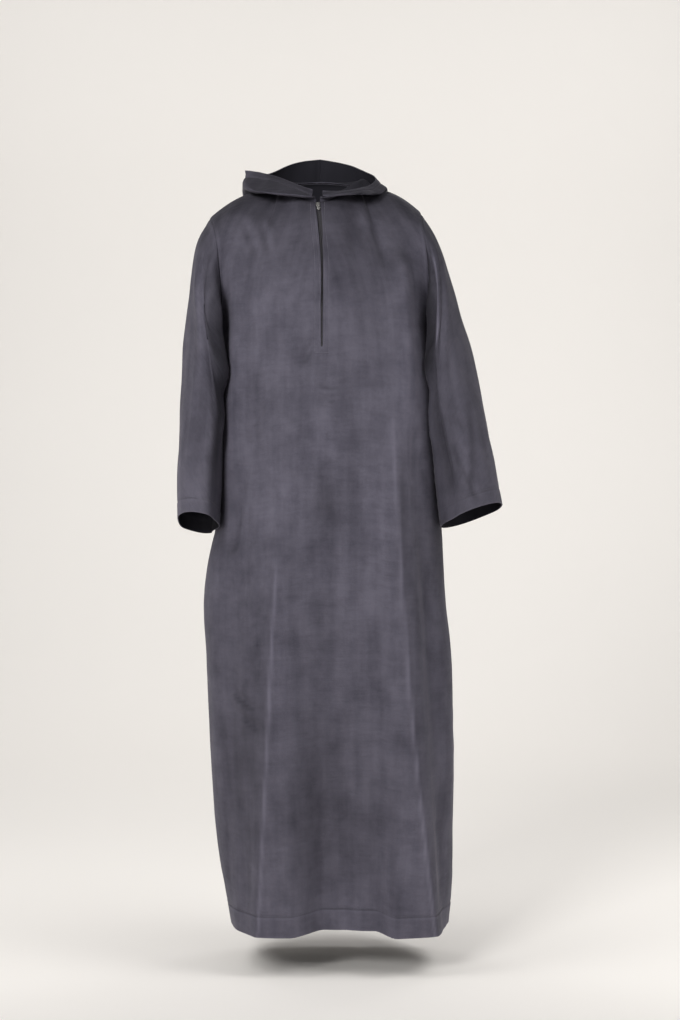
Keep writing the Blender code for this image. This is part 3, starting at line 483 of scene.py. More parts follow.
FRONT_FOLDS = rows_of(
    Fold,
    # the long pressed ridge at the wearer's left, then the one at the wearer's right
    (-0.10, -1.60, 0.127, 0.170, 0.224, 0.012, 0.034, 0.018, 0.20, 0.10),
    (-0.50, -1.60, -0.078, -0.094, -0.122, 0.012, 0.024, 0.036, 0.35, 0.10),
    # soft troughs and ridges between and beside them
    (-0.95, -1.60, 0.018, 0.010, 0.004, -0.014, 0.040, 0.055, 0.50, 0.10),
    (-0.42, -0.86, -0.060, -0.058, -0.062, 0.005, 0.024, 0.026),
    (-0.44, -0.80, -0.128, -0.142, -0.156, -0.006, 0.024, 0.024),
    (-0.12, -0.42, 0.150, 0.164, 0.176, 0.005, 0.022, 0.024),
    (-0.04, -0.34, -0.112, -0.100, -0.088, 0.005, 0.022, 0.024),
    (-0.05, -0.30, 0.070, 0.084, 0.098, -0.005, 0.024, 0.022),
    (-0.70, -1.30, -0.160, -0.165, -0.158, -0.007, 0.026, 0.024),
    (-0.66, -1.50, 0.200, 0.220, 0.235, -0.006, 0.018, 0.020),
)
BACK_FOLDS = rows_of(
    Fold,
    (-0.45, -1.60, -0.110, -0.125, -0.130, 0.013, 0.030, 0.040, 0.40, 0.10),
    (-0.55, -1.60, 0.030, 0.045, 0.040, -0.012, 0.036, 0.030, 0.35, 0.10),
    (-0.38, -1.60, 0.130, 0.158, 0.172, 0.014, 0.034, 0.028, 0.40, 0.10),
    (-0.72, -1.60, -0.045, -0.036, -0.040, 0.009, 0.024, 0.030, 0.45, 0.10),
    (-0.14, -0.62, -0.135, -0.118, -0.100, -0.006, 0.026, 0.028),
    (-0.16, -0.58, 0.142, 0.132, 0.118, -0.006, 0.026, 0.026),
)

DIP_LEFT_X = -0.055
DIP_LEFT_FULL_X = 0.010
DIP_RIGHT_FULL_X = 0.100
DIP_RIGHT_X = 0.142
DIP_DEPTH = 0.040
DIP_TOP_Z = -0.82
HEM_LIFT = 0.007
HEM_LIFT_TOP_Z = -1.20
HEM_LIFT_RUN = 0.19
# How far inside the seams the folds and the finer creases are at their full height.
FOLD_SIDE_EASE = 0.30
FOLD_TOP_EASE = 0.25
CREASE_EASE = 0.10


# ---------------- armholes and neckline
@dataclass(frozen=True)
class Armhole:
    """The armhole: its shoulder tip, and how its edges leave the underarm and reach the tip."""

    tip: Place
    front_lean: Place
    front_arrive: Place
    back_lean: Place
    back_arrive: Place


ARMHOLES = {
    -1: Armhole(
        tip=(-0.211, 0.010, -0.053),
        front_lean=(0.050, -0.320, 0.250),
        front_arrive=(-0.050, 0.320, 0.030),
        back_lean=(0.040, 0.260, 0.250),
        back_arrive=(-0.050, -0.280, 0.030),
    ),
    1: Armhole(
        tip=(0.193, 0.010, -0.043),
        front_lean=(0.010, -0.320, 0.250),
        front_arrive=(0.020, 0.320, 0.030),
        back_lean=(-0.020, 0.260, 0.250),
        back_arrive=(0.050, -0.280, 0.030),
    ),
}


def neckline(angle: Array) -> Array:
    """Gives the neckline's point at an angle.

    Args:
        angle: In radians, 0 at the wearer's left and a quarter turn at the back.

    Returns:
        The point or points.
    """
    x = NECK_RADIUS_X * np.cos(angle)
    deep = np.where(np.sin(angle) < 0.0, NECK_RADIUS_FRONT, NECK_RADIUS_BACK)
    y = NECK_CENTRE_Y + deep * np.sin(angle)
    turn = np.abs(np.sin(angle))
    end_z = np.where(np.sin(angle) < 0.0, NECK_FRONT_Z, NECK_BACK_Z)
    z = NECK_SIDE_Z + (end_z - NECK_SIDE_Z) * turn**NECK_DIP_POWER
    return np.stack([x, y, z], axis=-1)


def slit_centre_x(z: Array | float) -> Array:
    """Gives the x of the zip slit's middle at a height."""
    share = np.clip((SLIT_TOP_Z - z) / SLIT_BEND, 0.0, 1.0)
    return SLIT_TOP_X + (SLIT_LOW_X - SLIT_TOP_X) * smooth_step(share)


# ---------------- body panels
@dataclass(frozen=True)
class SewnLine:
    """A narrow ridge (height > 0) or groove (height < 0) at a distance from a seam or an edge."""

    height: float
    distance: float
    width: float

    def lift(self, distance: Array) -> Array:
        """Tells how far the line moves the cloth, or changes its look, at each distance."""
        return self.height * bell(distance - self.distance, self.width)


# The slit's raised lips, the grooves of its two stitch lines and the box's lowest line.
LIP_WELT = SewnLine(0.0007, 0.0032, 0.0018)
LIP_GROOVE = SewnLine(-0.0005, LIP_STITCH, 0.0010)
BOX_GROOVE = SewnLine(-0.0005, BOX_STITCH, 0.0012)
BASE_GROOVE = SewnLine(-0.0005, 0.0, 0.0014)
LIP_DROP = 0.004
LIP_EASE = 0.006
BOX_MARGIN = 0.002
BOX_EASE = 0.004
# A seam's groove and welt, then the doubled cloth of a turned edge and its stitches' groove.
SEAM_GROOVE = SewnLine(-0.0012, 0.0, 0.0030)
SEAM_WELT = SewnLine(0.0004, 0.0070, 0.0035)
TURNED_HEIGHT = 0.0006
TURNED_EASE = 0.0030
STITCH_GROOVE = SewnLine(-0.0009, 0.0, 0.0016)
PUCKER_REACH = 0.014
# Where the colour is lighter, part wear and part painted highlight: a seam's welt, a turned edge and
# the ridge inside its stitch line.
WELT_WEAR_HIGHLIGHT = SewnLine(0.12, 0.0065, 0.0030)
EDGE_WEAR_HIGHLIGHT = SewnLine(0.40, 0.0, 0.0016)
RIDGE_WEAR_HIGHLIGHT = SewnLine(0.10, -0.0040, 0.0022)


WRINKLE_PAST = 0.15
WRINKLE_EASE = 0.45


@dataclass(frozen=True)
class Wrinkle:
    """A short soft ridge or trough at any slant on a panel, given by its two ends."""

    start_x: float
    start_z: float
    end_x: float
    end_z: float
    height: float
    width: float
    sag: float = 0.0

    def lift(self, x: Array, z: Array) -> Array:
        """Tells how far the wrinkle moves the cloth outward at each x, z.

        Args:
            x: The places' x.
            z: The places' z.

        Returns:
            The lifts.
        """
        way_x, way_z = self.end_x - self.start_x, self.end_z - self.start_z
        length = math.hypot(way_x, way_z)
        from_x, from_z = x - self.start_x, z - self.start_z
        along = (from_x * way_x + from_z * way_z) / length**2
        across = (from_x * way_z - from_z * way_x) / length
        across = across - self.sag * 4.0 * along * (1.0 - along)
        ease = fade_ends(along, WRINKLE_EASE, WRINKLE_EASE, WRINKLE_PAST)
        return self.height * ease * bell(across, self.width)


@dataclass(frozen=True)
class PaintedLightPatch:
    """A soft patch of painted light (tone > 0) or painted shade (tone < 0) on a panel."""

    x: float
    z: float
    half_width: float
    half_height: float
    tone: float

    def shade(self, x: Array, z: Array) -> Array:
        """Tells how much painted light or shade the patch gives at each x, z."""
        far = ((x - self.x) / self.half_width) ** 2 + ((z - self.z) / self.half_height) ** 2
        return self.tone * np.exp(-far)


# Painted light and shade on the front panel: a painted shadow under the hood, painted light over the
# shaded gaps beside the armholes, painted shade at the waist's middle, beyond the left pressed
# crease and down the skirt's trough, and painted light along the right pressed crease and at the
# hem.
FRONT_PAINTED_LIGHT = rows_of(
    PaintedLightPatch,
    (0.020, -0.070, 0.300, 0.085, -0.20),  # under the hood
    (-0.078, -0.240, 0.050, 0.070, 0.07),  # the chest, beside the zip
    (0.170, -0.400, 0.030, 0.190, 0.34),  # beside the armholes
    (-0.172, -0.400, 0.022, 0.150, 0.30),
    (-0.110, -0.450, 0.030, 0.100, -0.12),
    (0.012, -0.480, 0.030, 0.035, 0.14),
    (0.011, -0.590, 0.028, 0.050, -0.26),  # the waist's dark middle and its two sides
    (-0.046, -0.590, 0.030, 0.060, 0.12),
    (0.107, -0.620, 0.030, 0.090, 0.14),
    (0.153, -0.600, 0.009, 0.120, -0.22),  # beyond the left pressed crease
    (-0.073, -0.920, 0.018, 0.140, 0.16),  # along the right pressed crease
    (0.005, -0.820, 0.045, 0.060, -0.16),
    (-0.130, -1.050, 0.032, 0.120, -0.14),
    (-0.150, -1.100, 0.040, 0.200, -0.10),
    (0.085, -1.190, 0.070, 0.130, -0.14),
    (0.020, -1.150, 0.300, 0.300, -0.14),  # the skirt as a whole, then its trough
    (-0.012, -1.160, 0.042, 0.200, -0.24),
    (0.062, -1.355, 0.036, 0.025, 0.20),  # the hem
    (0.165, -1.230, 0.026, 0.120, 0.10),
)
# Painted light and shade on the back panel, darkest down the skirt.
BACK_PAINTED_LIGHT = rows_of(
    PaintedLightPatch,
    (-0.060, -0.330, 0.050, 0.110, 0.10),
    (0.070, -0.300, 0.040, 0.090, -0.08),
    (0.010, -0.560, 0.060, 0.050, -0.16),
    (0.110, -0.760, 0.030, 0.120, 0.12),
    (-0.080, -0.940, 0.030, 0.160, -0.16),
    (0.020, -1.180, 0.300, 0.280, -0.12),
    (0.060, -1.180, 0.036, 0.180, -0.16),
)

# Pressed creases, soft folds and small wrinkles that only the sheets carry.
FRONT_CREASES = rows_of(
    Fold,
    # the two pressed creases: sharp crests, each with a steep side away from the middle
    (-0.38, -1.47, 0.1310, 0.1640, 0.2210, 0.0088, 0.034, 0.0130, 0.20, 0.05, 1.10),
    (-0.62, -1.47, -0.0760, -0.0955, -0.1165, 0.0070, 0.0120, 0.030, 0.22, 0.05, 1.10),
    (-0.10, -0.50, 0.152, 0.163, 0.174, 0.0075, 0.013, 0.016),
    (-0.06, -0.30, 0.098, 0.112, 0.116, -0.0040, 0.012, 0.016),
    (-0.10, -0.44, -0.176, -0.178, -0.176, -0.0034, 0.010, 0.008),
    (-0.50, -0.74, -0.060, -0.058, -0.061, 0.0034, 0.010, 0.016),
    (-0.50, -0.70, -0.132, -0.148, -0.166, -0.0040, 0.010, 0.008),
    (-0.57, -0.86, -0.112, -0.118, -0.126, 0.0030, 0.012, 0.012),
    (-0.30, -0.66, 0.060, 0.072, 0.078, -0.0034, 0.016, 0.020),
    (-0.34, -0.62, -0.034, -0.026, -0.030, -0.0030, 0.018, 0.014),
    (-0.86, -1.34, 0.094, 0.104, 0.112, 0.0040, 0.022, 0.016, 0.30, 0.20),
    (-0.92, -1.46, 0.058, 0.052, 0.046, -0.0040, 0.014, 0.018, 0.30, 0.05),
    (-0.98, -1.47, -0.040, -0.036, -0.034, -0.0050, 0.020, 0.014, 0.30, 0.05),
    (-1.10, -1.47, -0.152, -0.150, -0.143, 0.0036, 0.012, 0.012, 0.30, 0.05),
    (-0.62, -1.10, 0.186, 0.204, 0.216, -0.0040, 0.010, 0.012),
    (-0.96, -1.47, 0.236, 0.240, 0.238, 0.0036, 0.012, 0.010, 0.25, 0.05),
)
FRONT_WRINKLES = rows_of(
    Wrinkle,
    # under the hood
    (-0.138, -0.072, -0.116, -0.136, -0.0048, 0.0075),
    (-0.108, -0.070, -0.094, -0.130, -0.0044, 0.0065),
    (-0.088, -0.076, -0.082, -0.136, 0.0030, 0.0080),
    (0.108, -0.074, 0.124, -0.150, -0.0040, 0.0080),
    (0.060, -0.064, 0.078, -0.134, 0.0026, 0.0090),
    # beside the zip's lower end
    (-0.032, -0.338, -0.008, -0.292, -0.0048, 0.0085),
    (0.016, -0.340, 0.020, -0.308, -0.0014, 0.0060),
    (-0.002, -0.346, 0.004, -0.398, 0.0012, 0.0090),
    # the waist
    (-0.006, -0.384, 0.040, -0.394, 0.0034, 0.0050, 0.004),
    (0.002, -0.410, 0.032, -0.398, -0.0036, 0.0042, 0.002),
    (-0.070, -0.440, -0.030, -0.462, 0.0012, 0.0090),
    (0.084, -0.470, 0.118, -0.446, -0.0014, 0.0090),
    (-0.158, -0.420, -0.118, -0.446, -0.0020, 0.0080, 0.004),
    (-0.166, -0.520, -0.128, -0.556, 0.0020, 0.0080, 0.004),
    (-0.160, -0.566, -0.126, -0.590, -0.0018, 0.0070),
    (0.176, -0.500, 0.204, -0.560, -0.0026, 0.0080),
    (0.170, -0.600, 0.206, -0.640, 0.0018, 0.0080),
    # the skirt
    (-0.164, -0.936, -0.112, -0.972, -0.0042, 0.0048, 0.004),
    (-0.148, -0.982, -0.106, -1.010, -0.0044, 0.0046, 0.003),
    (-0.160, -0.960, -0.116, -0.990, 0.0036, 0.0052),
    (-0.150, -1.140, -0.138, -1.162, -0.0022, 0.0060),
    (0.030, -1.240, 0.058, -1.260, -0.0020, 0.0060),
    (0.020, -0.742, 0.060, -0.760, -0.0010, 0.0100),
    (0.070, -0.900, 0.106, -0.930, -0.0014, 0.0100),
    (-0.030, -0.830, 0.010, -0.850, 0.0010, 0.0110),
    (0.142, -1.060, 0.170, -1.100, -0.0018, 0.0080),
    (0.196, -0.780, 0.226, -0.826, -0.0022, 0.0080),
    (0.204, -1.180, 0.232, -1.220, -0.0020, 0.0080),
    (-0.090, -1.210, -0.058, -1.232, -0.0016, 0.0080),
)
BACK_CREASES = rows_of(
    Fold,
    (-0.62, -1.47, 0.1360, 0.1540, 0.1700, 0.0070, 0.030, 0.0120, 0.22, 0.05, 1.10),
    (-0.58, -1.47, -0.1100, -0.1210, -0.1280, 0.0064, 0.0120, 0.030, 0.22, 0.05, 1.10),
    (-0.34, -0.82, -0.020, -0.012, -0.006, -0.0026, 0.016, 0.022),
    (-0.40, -0.86, 0.062, 0.070, 0.066, 0.0028, 0.016, 0.018),
    (-0.42, -0.76, -0.150, -0.140, -0.132, -0.0030, 0.012, 0.012),
    (-0.80, -1.34, -0.078, -0.070, -0.074, -0.0034, 0.016, 0.018, 0.30, 0.15),
    (-0.90, -1.47, 0.098, 0.104, 0.108, -0.0034, 0.014, 0.018, 0.30, 0.05),
    (-0.76, -1.24, 0.190, 0.204, 0.210, -0.0030, 0.012, 0.014),
    (-0.94, -1.47, -0.168, -0.166, -0.158, 0.0028, 0.012, 0.012, 0.30, 0.05),
)
BACK_WRINKLES = rows_of(
    Wrinkle,
    (-0.150, -0.190, -0.092, -0.250, -0.0026, 0.0090, 0.004),
    (0.158, -0.196, 0.098, -0.254, -0.0026, 0.0090, -0.004),
    (-0.142, -0.250, -0.086, -0.290, 0.0018, 0.0090),
    (0.148, -0.262, 0.094, -0.306, 0.0018, 0.0090),
    (-0.060, -0.402, 0.000, -0.424, -0.0020, 0.0080, 0.004),
    (0.000, -0.430, 0.070, -0.418, 0.0018, 0.0080, 0.004),
    (-0.034, -0.462, 0.040, -0.470, -0.0016, 0.0075, 0.004),
    (0.084, -0.500, 0.142, -0.470, -0.0018, 0.0080),
    (-0.140, -0.520, -0.090, -0.548, 0.0018, 0.0080),
    (0.040, -0.742, 0.092, -0.760, -0.0016, 0.0085),
    (-0.096, -0.900, -0.050, -0.926, -0.0016, 0.0080),
    (0.120, -1.020, 0.156, -1.046, -0.0018, 0.0080),
    (-0.030, -1.130, 0.016, -1.148, 0.0014, 0.0090),
    (0.180, -1.180, 0.214, -1.206, -0.0018, 0.0080),
)


class BodyPanel:
    """The front or the back panel, as a surface over a column value and a height."""

    def __init__(self, face: PanelFace) -> None:
        """Picks the panel's folds and where its columns lie.

        Args:
            face: Which panel it is.
        """
        self.is_front = face is PanelFace.FRONT
        self.folds = FRONT_FOLDS if self.is_front else BACK_FOLDS
        self.creases = FRONT_CREASES if self.is_front else BACK_CREASES
        self.wrinkles = FRONT_WRINKLES if self.is_front else BACK_WRINKLES
        self.patches = FRONT_PAINTED_LIGHT if self.is_front else BACK_PAINTED_LIGHT
        self.seed = FRONT_SEED if self.is_front else BACK_SEED
        self.columns = self.place_columns()
        self.lower = self.place_lower_rows()
        self.upper = self.place_upper_rows()

    def place_columns(self) -> Array:
        """Lists the column values, the second half mirrored from the first.

        Returns:
            The column values.
        """
        even = np.linspace(0.0, 1.0, SHOULDER_CELLS + 1)[1:]
        shoulder = np.concatenate([[0.0], SEAM_SHARES, even])
        neck = np.linspace(0.0, 1.0 - LIP_SHARE, NECK_CELLS + 1)
        lip = np.linspace(1.0 - LIP_SHARE, 1.0, LIP_CELLS + 1)[1:]
        half = np.concatenate([shoulder, 1.0 + neck[1:], 1.0 + lip])
        slit = 2.0 + np.linspace(0.0, 1.0, SLIT_CELLS + 1)[1:-1]
        middle = slit if self.is_front else np.array([])
        mirror = LAST_COLUMN - half[::-1]
        return np.concatenate([half, middle, mirror if self.is_front else mirror[1:]])

    def place_lower_rows(self) -> Array:
        """Lists the heights from the hem to the armpit, closer at the hem's stitch line.

        Returns:
            The heights.
        """
        count = round((ARMPIT_Z - HEM_Z) / LOWER_STEP)
        even = np.linspace(HEM_Z, ARMPIT_Z, count + 1)
        stitch = HEM_Z + HEM_TURN + FINE_STEP * np.arange(*HEM_LINE_STEPS)
        edge = HEM_Z + FINE_STEP * np.arange(*HEM_EDGE_STEPS)
        slit = SLIT_LOW_Z - BOX_DROP + FINE_STEP * np.arange(*BOX_LINE_STEPS)
        extra = np.concatenate([stitch, edge, slit, [SLIT_LOW_Z]])
        clear = np.min(np.abs(even[:, None] - extra[None, :]), axis=1) > LOWER_ROOM
        clear[[0, -1]] = (False, True)
        return np.sort(np.concatenate([even[clear], extra]))

    def place_upper_rows(self) -> Array:
        """Lists the shares from the armpit up to the shoulder seam, closer at the seam."""
        even = np.linspace(0.0, 1.0, UPPER_ROWS + 1)[1:-1]
        return np.concatenate([even, 1.0 - SEAM_SHARES[::-1], [1.0]])

    def section(self, z: float) -> Array:
        """Gives the points of one level, spread along the cloth by the column values.

        Args:
            z: The height.

        Returns:
            A point for each column.
        """
        left, right, front, back, *squares = read_rows(BODY_ROWS, "z", z).values()
        middle = 0.5 * (left + right)
        across = np.linspace(-1.0, 1.0, SECTION_SAMPLES)
        angle = np.abs(across) * math.pi / 2.0
        sign = np.sign(across)
        square = np.where(sign < 0.0, *squares) if self.is_front else BACK_SQUARE
        half = np.where(sign < 0.0, middle - left, right - middle)
        flare = UNDERARM_FLARE * sign * smooth_step((z - ARMPIT_Z + UNDERARM_RISE) / UNDERARM_RISE)
        x = middle + sign * half * np.sin(angle) ** (2.0 / square)
        x = x + flare * np.abs(across) ** FLARE_POWER
        reach = front if self.is_front else back
        y = SIDE_SEAM_Y + (reach - SIDE_SEAM_Y) * np.cos(angle) ** (2.0 / square)
        length = np.concatenate([[0.0], np.cumsum(np.hypot(np.diff(x), np.diff(y)))])
        centre = slit_centre_x(z)
        left_edge = float(np.interp(centre - 0.5 * SLIT_WIDTH, x, length))
        right_edge = float(np.interp(centre + 0.5 * SLIT_WIDTH, x, length))
        if not self.is_front:
            left_edge = right_edge = 0.5 * (left_edge + right_edge)
        places = (
            0.0,
            left_edge * SHOULDER_SHARE,
            left_edge,
            right_edge,
            right_edge + (length[-1] - right_edge) * (1.0 - SHOULDER_SHARE),
            length[-1],
        )
        place = np.interp(self.columns, range(len(places)), places)
        ways = [np.interp(place, length, x), np.interp(place, length, y), np.full_like(place, z)]
        return np.stack(ways, axis=-1)

    def top_edge(self) -> Array:
        """Gives the points of the shoulder seams and the neckline, one for each column.

        Returns:
            The points.
        """
        side = -1 if self.is_front else 1
        quarter = 0.5 * math.pi
        if self.is_front:
            quarter -= NECK_HALF_V / NECK_RADIUS_X
        points = []
        for value in self.columns:
            if value <= 1.0 or value >= LAST_COLUMN - 1.0:
                hand = -1 if value <= 1.0 else 1
                share = value if value <= 1.0 else LAST_COLUMN - value
                tip = np.array(ARMHOLES[hand].tip)
                neck = neckline(np.array(math.pi if hand < 0 else 0.0))
                point = tip + (neck - tip) * share
                crown = SHOULDER_CROWN * math.sin(math.pi * share)
                point[2] += crown * (CROWN_FULL - CROWN_FALL * share)
            elif value <= 2.0:
                point = neckline(np.array(side * (math.pi - (value - 1.0) * quarter)))
            else:
                point = neckline(np.array(side * (LAST_COLUMN - 1.0 - value) * quarter))
            points.append(point)
        edge = np.array(points)
        if self.is_front:
            edge[:, 0] += self.near_middle(*NECK_PULL) * SLIT_TOP_X
        return edge

    def near_middle(self, reach: float, run: float) -> Array:
        """Gives 1 for columns near the panel's middle and 0 for those beyond the reach."""
        return smooth_step((reach - np.abs(self.columns - MIDDLE_COLUMN)) / run)

    def leans(self) -> tuple[Array, Array]:
        """Gives how each column leaves the armpit level and how it reaches the top edge.

        Returns:
            The two ways of each column.
        """
        forward = -1.0 if self.is_front else 1.0
        near, far = (self.section(ARMPIT_Z - depth) for depth in LEAVE_DEPTHS)
        leave = unit(near - far) * (FRONT_LEAVE if self.is_front else BACK_LEAVE)
        shoulder, neck = (
            np.array((0.0, -forward * inward, up)) for inward, up in (SHOULDER_ARRIVE, NECK_ARRIVE)
        )
        arrive = shoulder + (neck - shoulder) * self.near_middle(*NECK_NEAR)[:, None]
        if self.is_front:
            near_slit = self.near_middle(*SLIT_NEAR)
            arrive[:, 0] += SLIT_ARRIVE * (SLIT_TOP_X - SLIT_LOW_X) * near_slit
        for hand in (-1, 1):
            hole = ARMHOLES[hand]
            edge_leave = np.array(hole.front_lean if self.is_front else hole.back_lean)
            edge_arrive = np.array(hole.front_arrive if self.is_front else hole.back_arrive)
            distance = self.columns if hand < 0 else LAST_COLUMN - self.columns
            weight = np.clip(1.0 - distance / ARMHOLE_REACH, 0.0, 1.0)[:, None] ** 2
            leave = leave + (edge_leave - leave) * weight
            arrive = arrive + (edge_arrive - arrive) * weight
        return leave, arrive

    def base_grid(self) -> Array:
        """Gives the smooth worn surface, rows by columns, without folds.

        Returns:
            The surface.
        """
        rows = [self.section(z) for z in self.lower]
        start, end = self.section(ARMPIT_Z), self.top_edge()
        leave, arrive = self.leans()
        rows += [hermite(start, leave, end, arrive, t) for t in self.upper]
        return np.array(rows)

    def grid(self) -> Array:
        """Gives the surface with the solid's folds, then the finer creases and sewn edges.

        Returns:
            The finished surface, rows by columns.
        """
        base = self.base_grid()
        x, z = base[..., 0], base[..., 2]
        side = np.minimum(self.columns, LAST_COLUMN - self.columns)[None, :]
        top = np.concatenate([np.ones(len(self.lower)), 1.0 - self.upper])[:, None]
        inside = smooth_step(side / FOLD_SIDE_EASE) * smooth_step(top / FOLD_TOP_EASE)
        amount = sum(fold.lift(x, z) for fold in self.folds) * inside
        outward = surface_normals(base, False) * (1.0 if self.is_front else -1.0)
        points = base + outward * amount[..., None]
        if self.is_front:
            fall = smooth_step((DIP_TOP_Z - z) / (DIP_TOP_Z - HEM_Z))
            into = smooth_step((x - DIP_LEFT_X) / (DIP_LEFT_FULL_X - DIP_LEFT_X))
            out_of = smooth_step((DIP_RIGHT_X - x) / (DIP_RIGHT_X - DIP_RIGHT_FULL_X))
            dip = fall * into * out_of
            points[..., 1] += DIP_DEPTH * dip
            points[..., 2] += HEM_LIFT * dip * smooth_step((HEM_LIFT_TOP_Z - z) / HEM_LIFT_RUN)
        inside = smooth_step(side / CREASE_EASE) * smooth_step(top / CREASE_EASE)
        return points + outward * self.fine_lift(points, inside)[..., None]

    def fine_lift(self, points: Array, inside: Array) -> Array:
        """Tells how far the creases, wrinkles, seams and hem move the sheet outward.

        Args:
            points: The surface so far.
            inside: How far each point is from the side and shoulder seams, up to 1.

        Returns:
            The lift at each point.
        """
        x, z = points[..., 0], points[..., 2]
        creases = sum(crease.lift(x, z) for crease in (*self.creases, *self.wrinkles))
        soft = softness(points, PANEL_WAVES, self.seed)
        across = np.minimum(run_along(points, 1, False), run_along(points, 1, True))
        from_top = run_along(points, 0, True)
        from_hem = run_along(points, 0, False)
        lift = (creases + soft) * inside
        lift = lift + Sewing.seam(np.minimum(across, from_top))
        lift = lift + Sewing.turned_edge(points, from_hem, HEM_TURN, self.seed)
        if self.is_front:
            lift = lift + self.zip_lift(x, z)
        return lift

    def rubbed(self, points: Array) -> Array:
        """Tells how much lighter the colour is at each point, part wear and part painted highlight:
        along pressed crests, seams and the hem.

        Args:
            points: The finished surface.

        Returns:
            Values from 0 to 1.
        """
        x, z = points[..., 0], points[..., 2]
        crests = sum(crease.rubbed(x, z) for crease in self.creases[:2])
        across = np.minimum(run_along(points, 1, False), run_along(points, 1, True))
        seams = np.minimum(across, run_along(points, 0, True))
        edges = Sewing.rubbed(seams, run_along(points, 0, False), HEM_TURN)
        return np.clip(CREST_HIGHLIGHT * crests + edges, 0.0, 1.0)

    def nap(self, points: Array) -> Array:
        """Gives the painted light and shade at each point of the finished surface, about 1.

        Args:
            points: The finished surface.

        Returns:
            The lightness, about 1.
        """
        x, z = points[..., 0], points[..., 2]
        # Painted shade on the planes beyond the two pressed creases, and the listed patches of
        # painted light and shade.
        planes = self.creases[0].beyond(x, z, 1.0) + self.creases[1].beyond(x, z, -1.0)
        return 1.0 + sum(patch.shade(x, z) for patch in self.patches) - CREASE_PLANE_PAINTED_SHADE * planes

    @staticmethod
    def zip_lift(x: Array, z: Array) -> Array:
        """Gives the raised lips of the slit and the stitched box round the zip.

        Args:
            x: The places' x.
            z: The places' z.

        Returns:
            The lifts.
        """
        off = np.abs(x - slit_centre_x(z))
        beside = smooth_step((z - SLIT_LOW_Z + LIP_DROP) / LIP_EASE)
        lips, edge = LIP_WELT.lift(off) * beside, LIP_GROOVE.lift(off) * beside
        above_base = z - (SLIT_LOW_Z - BOX_DROP)
        box = BOX_GROOVE.lift(off) * smooth_step((above_base + BOX_MARGIN) / BOX_EASE)
        within = smooth_step((BOX_STITCH + BOX_MARGIN - off) / BOX_EASE)
        return lips + edge + box + BASE_GROOVE.lift(above_base) * within


# ---------------- sleeves
@dataclass(frozen=True)
class SleeveRow:
    """One ring of a sleeve: its outer and inner lines, its middle depth and its half depth."""

    share: float
    outer_x: float
    outer_z: float
    inner_x: float
    inner_z: float
    mid_y: float
    half_depth: float
    front_x: float
    front_rise: float


SLEEVE_ROWS = {
    -1: rows_of(
        SleeveRow,
        (0.00, -0.211, -0.053, -0.192, -0.262, 0.016, 0.080, 0.000, 0.000),
        (0.10, -0.233, -0.096, -0.205, -0.300, 0.012, 0.081, 0.006, 0.000),
        (0.22, -0.244, -0.165, -0.200, -0.340, 0.006, 0.080, 0.011, 0.002),
        (0.36, -0.249, -0.240, -0.194, -0.385, -0.003, 0.078, 0.018, 0.004),
        (0.52, -0.253, -0.330, -0.186, -0.440, -0.015, 0.075, 0.020, 0.007),
        (0.68, -0.260, -0.425, -0.184, -0.500, -0.027, 0.073, 0.014, 0.011),
        (0.84, -0.268, -0.525, -0.184, -0.570, -0.038, 0.071, 0.009, 0.015),
        (1.00, -0.266, -0.624, -0.187, -0.640, -0.047, 0.070, 0.006, 0.019),
    ),
    1: rows_of(
        SleeveRow,
        (0.00, 0.193, -0.043, 0.208, -0.262, 0.016, 0.080, 0.000, 0.000),
        (0.10, 0.221, -0.088, 0.220, -0.300, 0.012, 0.081, -0.004, 0.000),
        (0.22, 0.247, -0.165, 0.219, -0.340, 0.006, 0.080, -0.012, 0.001),
        (0.36, 0.267, -0.245, 0.216, -0.385, -0.004, 0.076, -0.021, 0.002),
        (0.52, 0.288, -0.335, 0.208, -0.440, -0.017, 0.073, -0.024, 0.004),
        (0.68, 0.309, -0.430, 0.212, -0.500, -0.030, 0.071, -0.018, 0.006),
        (0.84, 0.328, -0.520, 0.219, -0.572, -0.042, 0.069, -0.012, 0.008),
        (1.00, 0.341, -0.596, 0.227, -0.640, -0.052, 0.067, -0.010, 0.009),
    ),
}


@dataclass(frozen=True)
class TurnFold:
    """A ridge or trough of a sleeve or the hood, between two places along it and two angles.

    On a sleeve a place is 0 at the armhole and 1 at the cuff, and an angle is 0 at the underarm,
    90 at the front and 180 on top. On the hood a place is 0 at the neckline, 7 at the outer fold
    and 10 at the rim, and an angle is 0 at the wearer's left and 90 at the nape.
    """

    first: float
    last: float
    first_angle: float
    last_angle: float
    height: float
    width: float
    power: float = 2.0

    def lift(self, angle: Array, place: Array, ease: float = 0.25, past: float = 0.0) -> Array:
        """Tells how far the fold moves the cloth outward at each angle and place.

        Args:
            angle: The angles.
            place: The places.
            ease: The share of the fold's length over which it rises and falls.
            past: How far beyond its two ends it starts and stops.

        Returns:
            The lifts.
        """
        down = (place - self.first) / (self.last - self.first)
        line = self.first_angle + (self.last_angle - self.first_angle) * np.clip(down, 0.0, 1.0)
        offset = (angle - line + 180.0) % 360.0 - 180.0
        return self.height * fade_ends(down, ease, ease, past) * bell(offset, self.width, self.power)


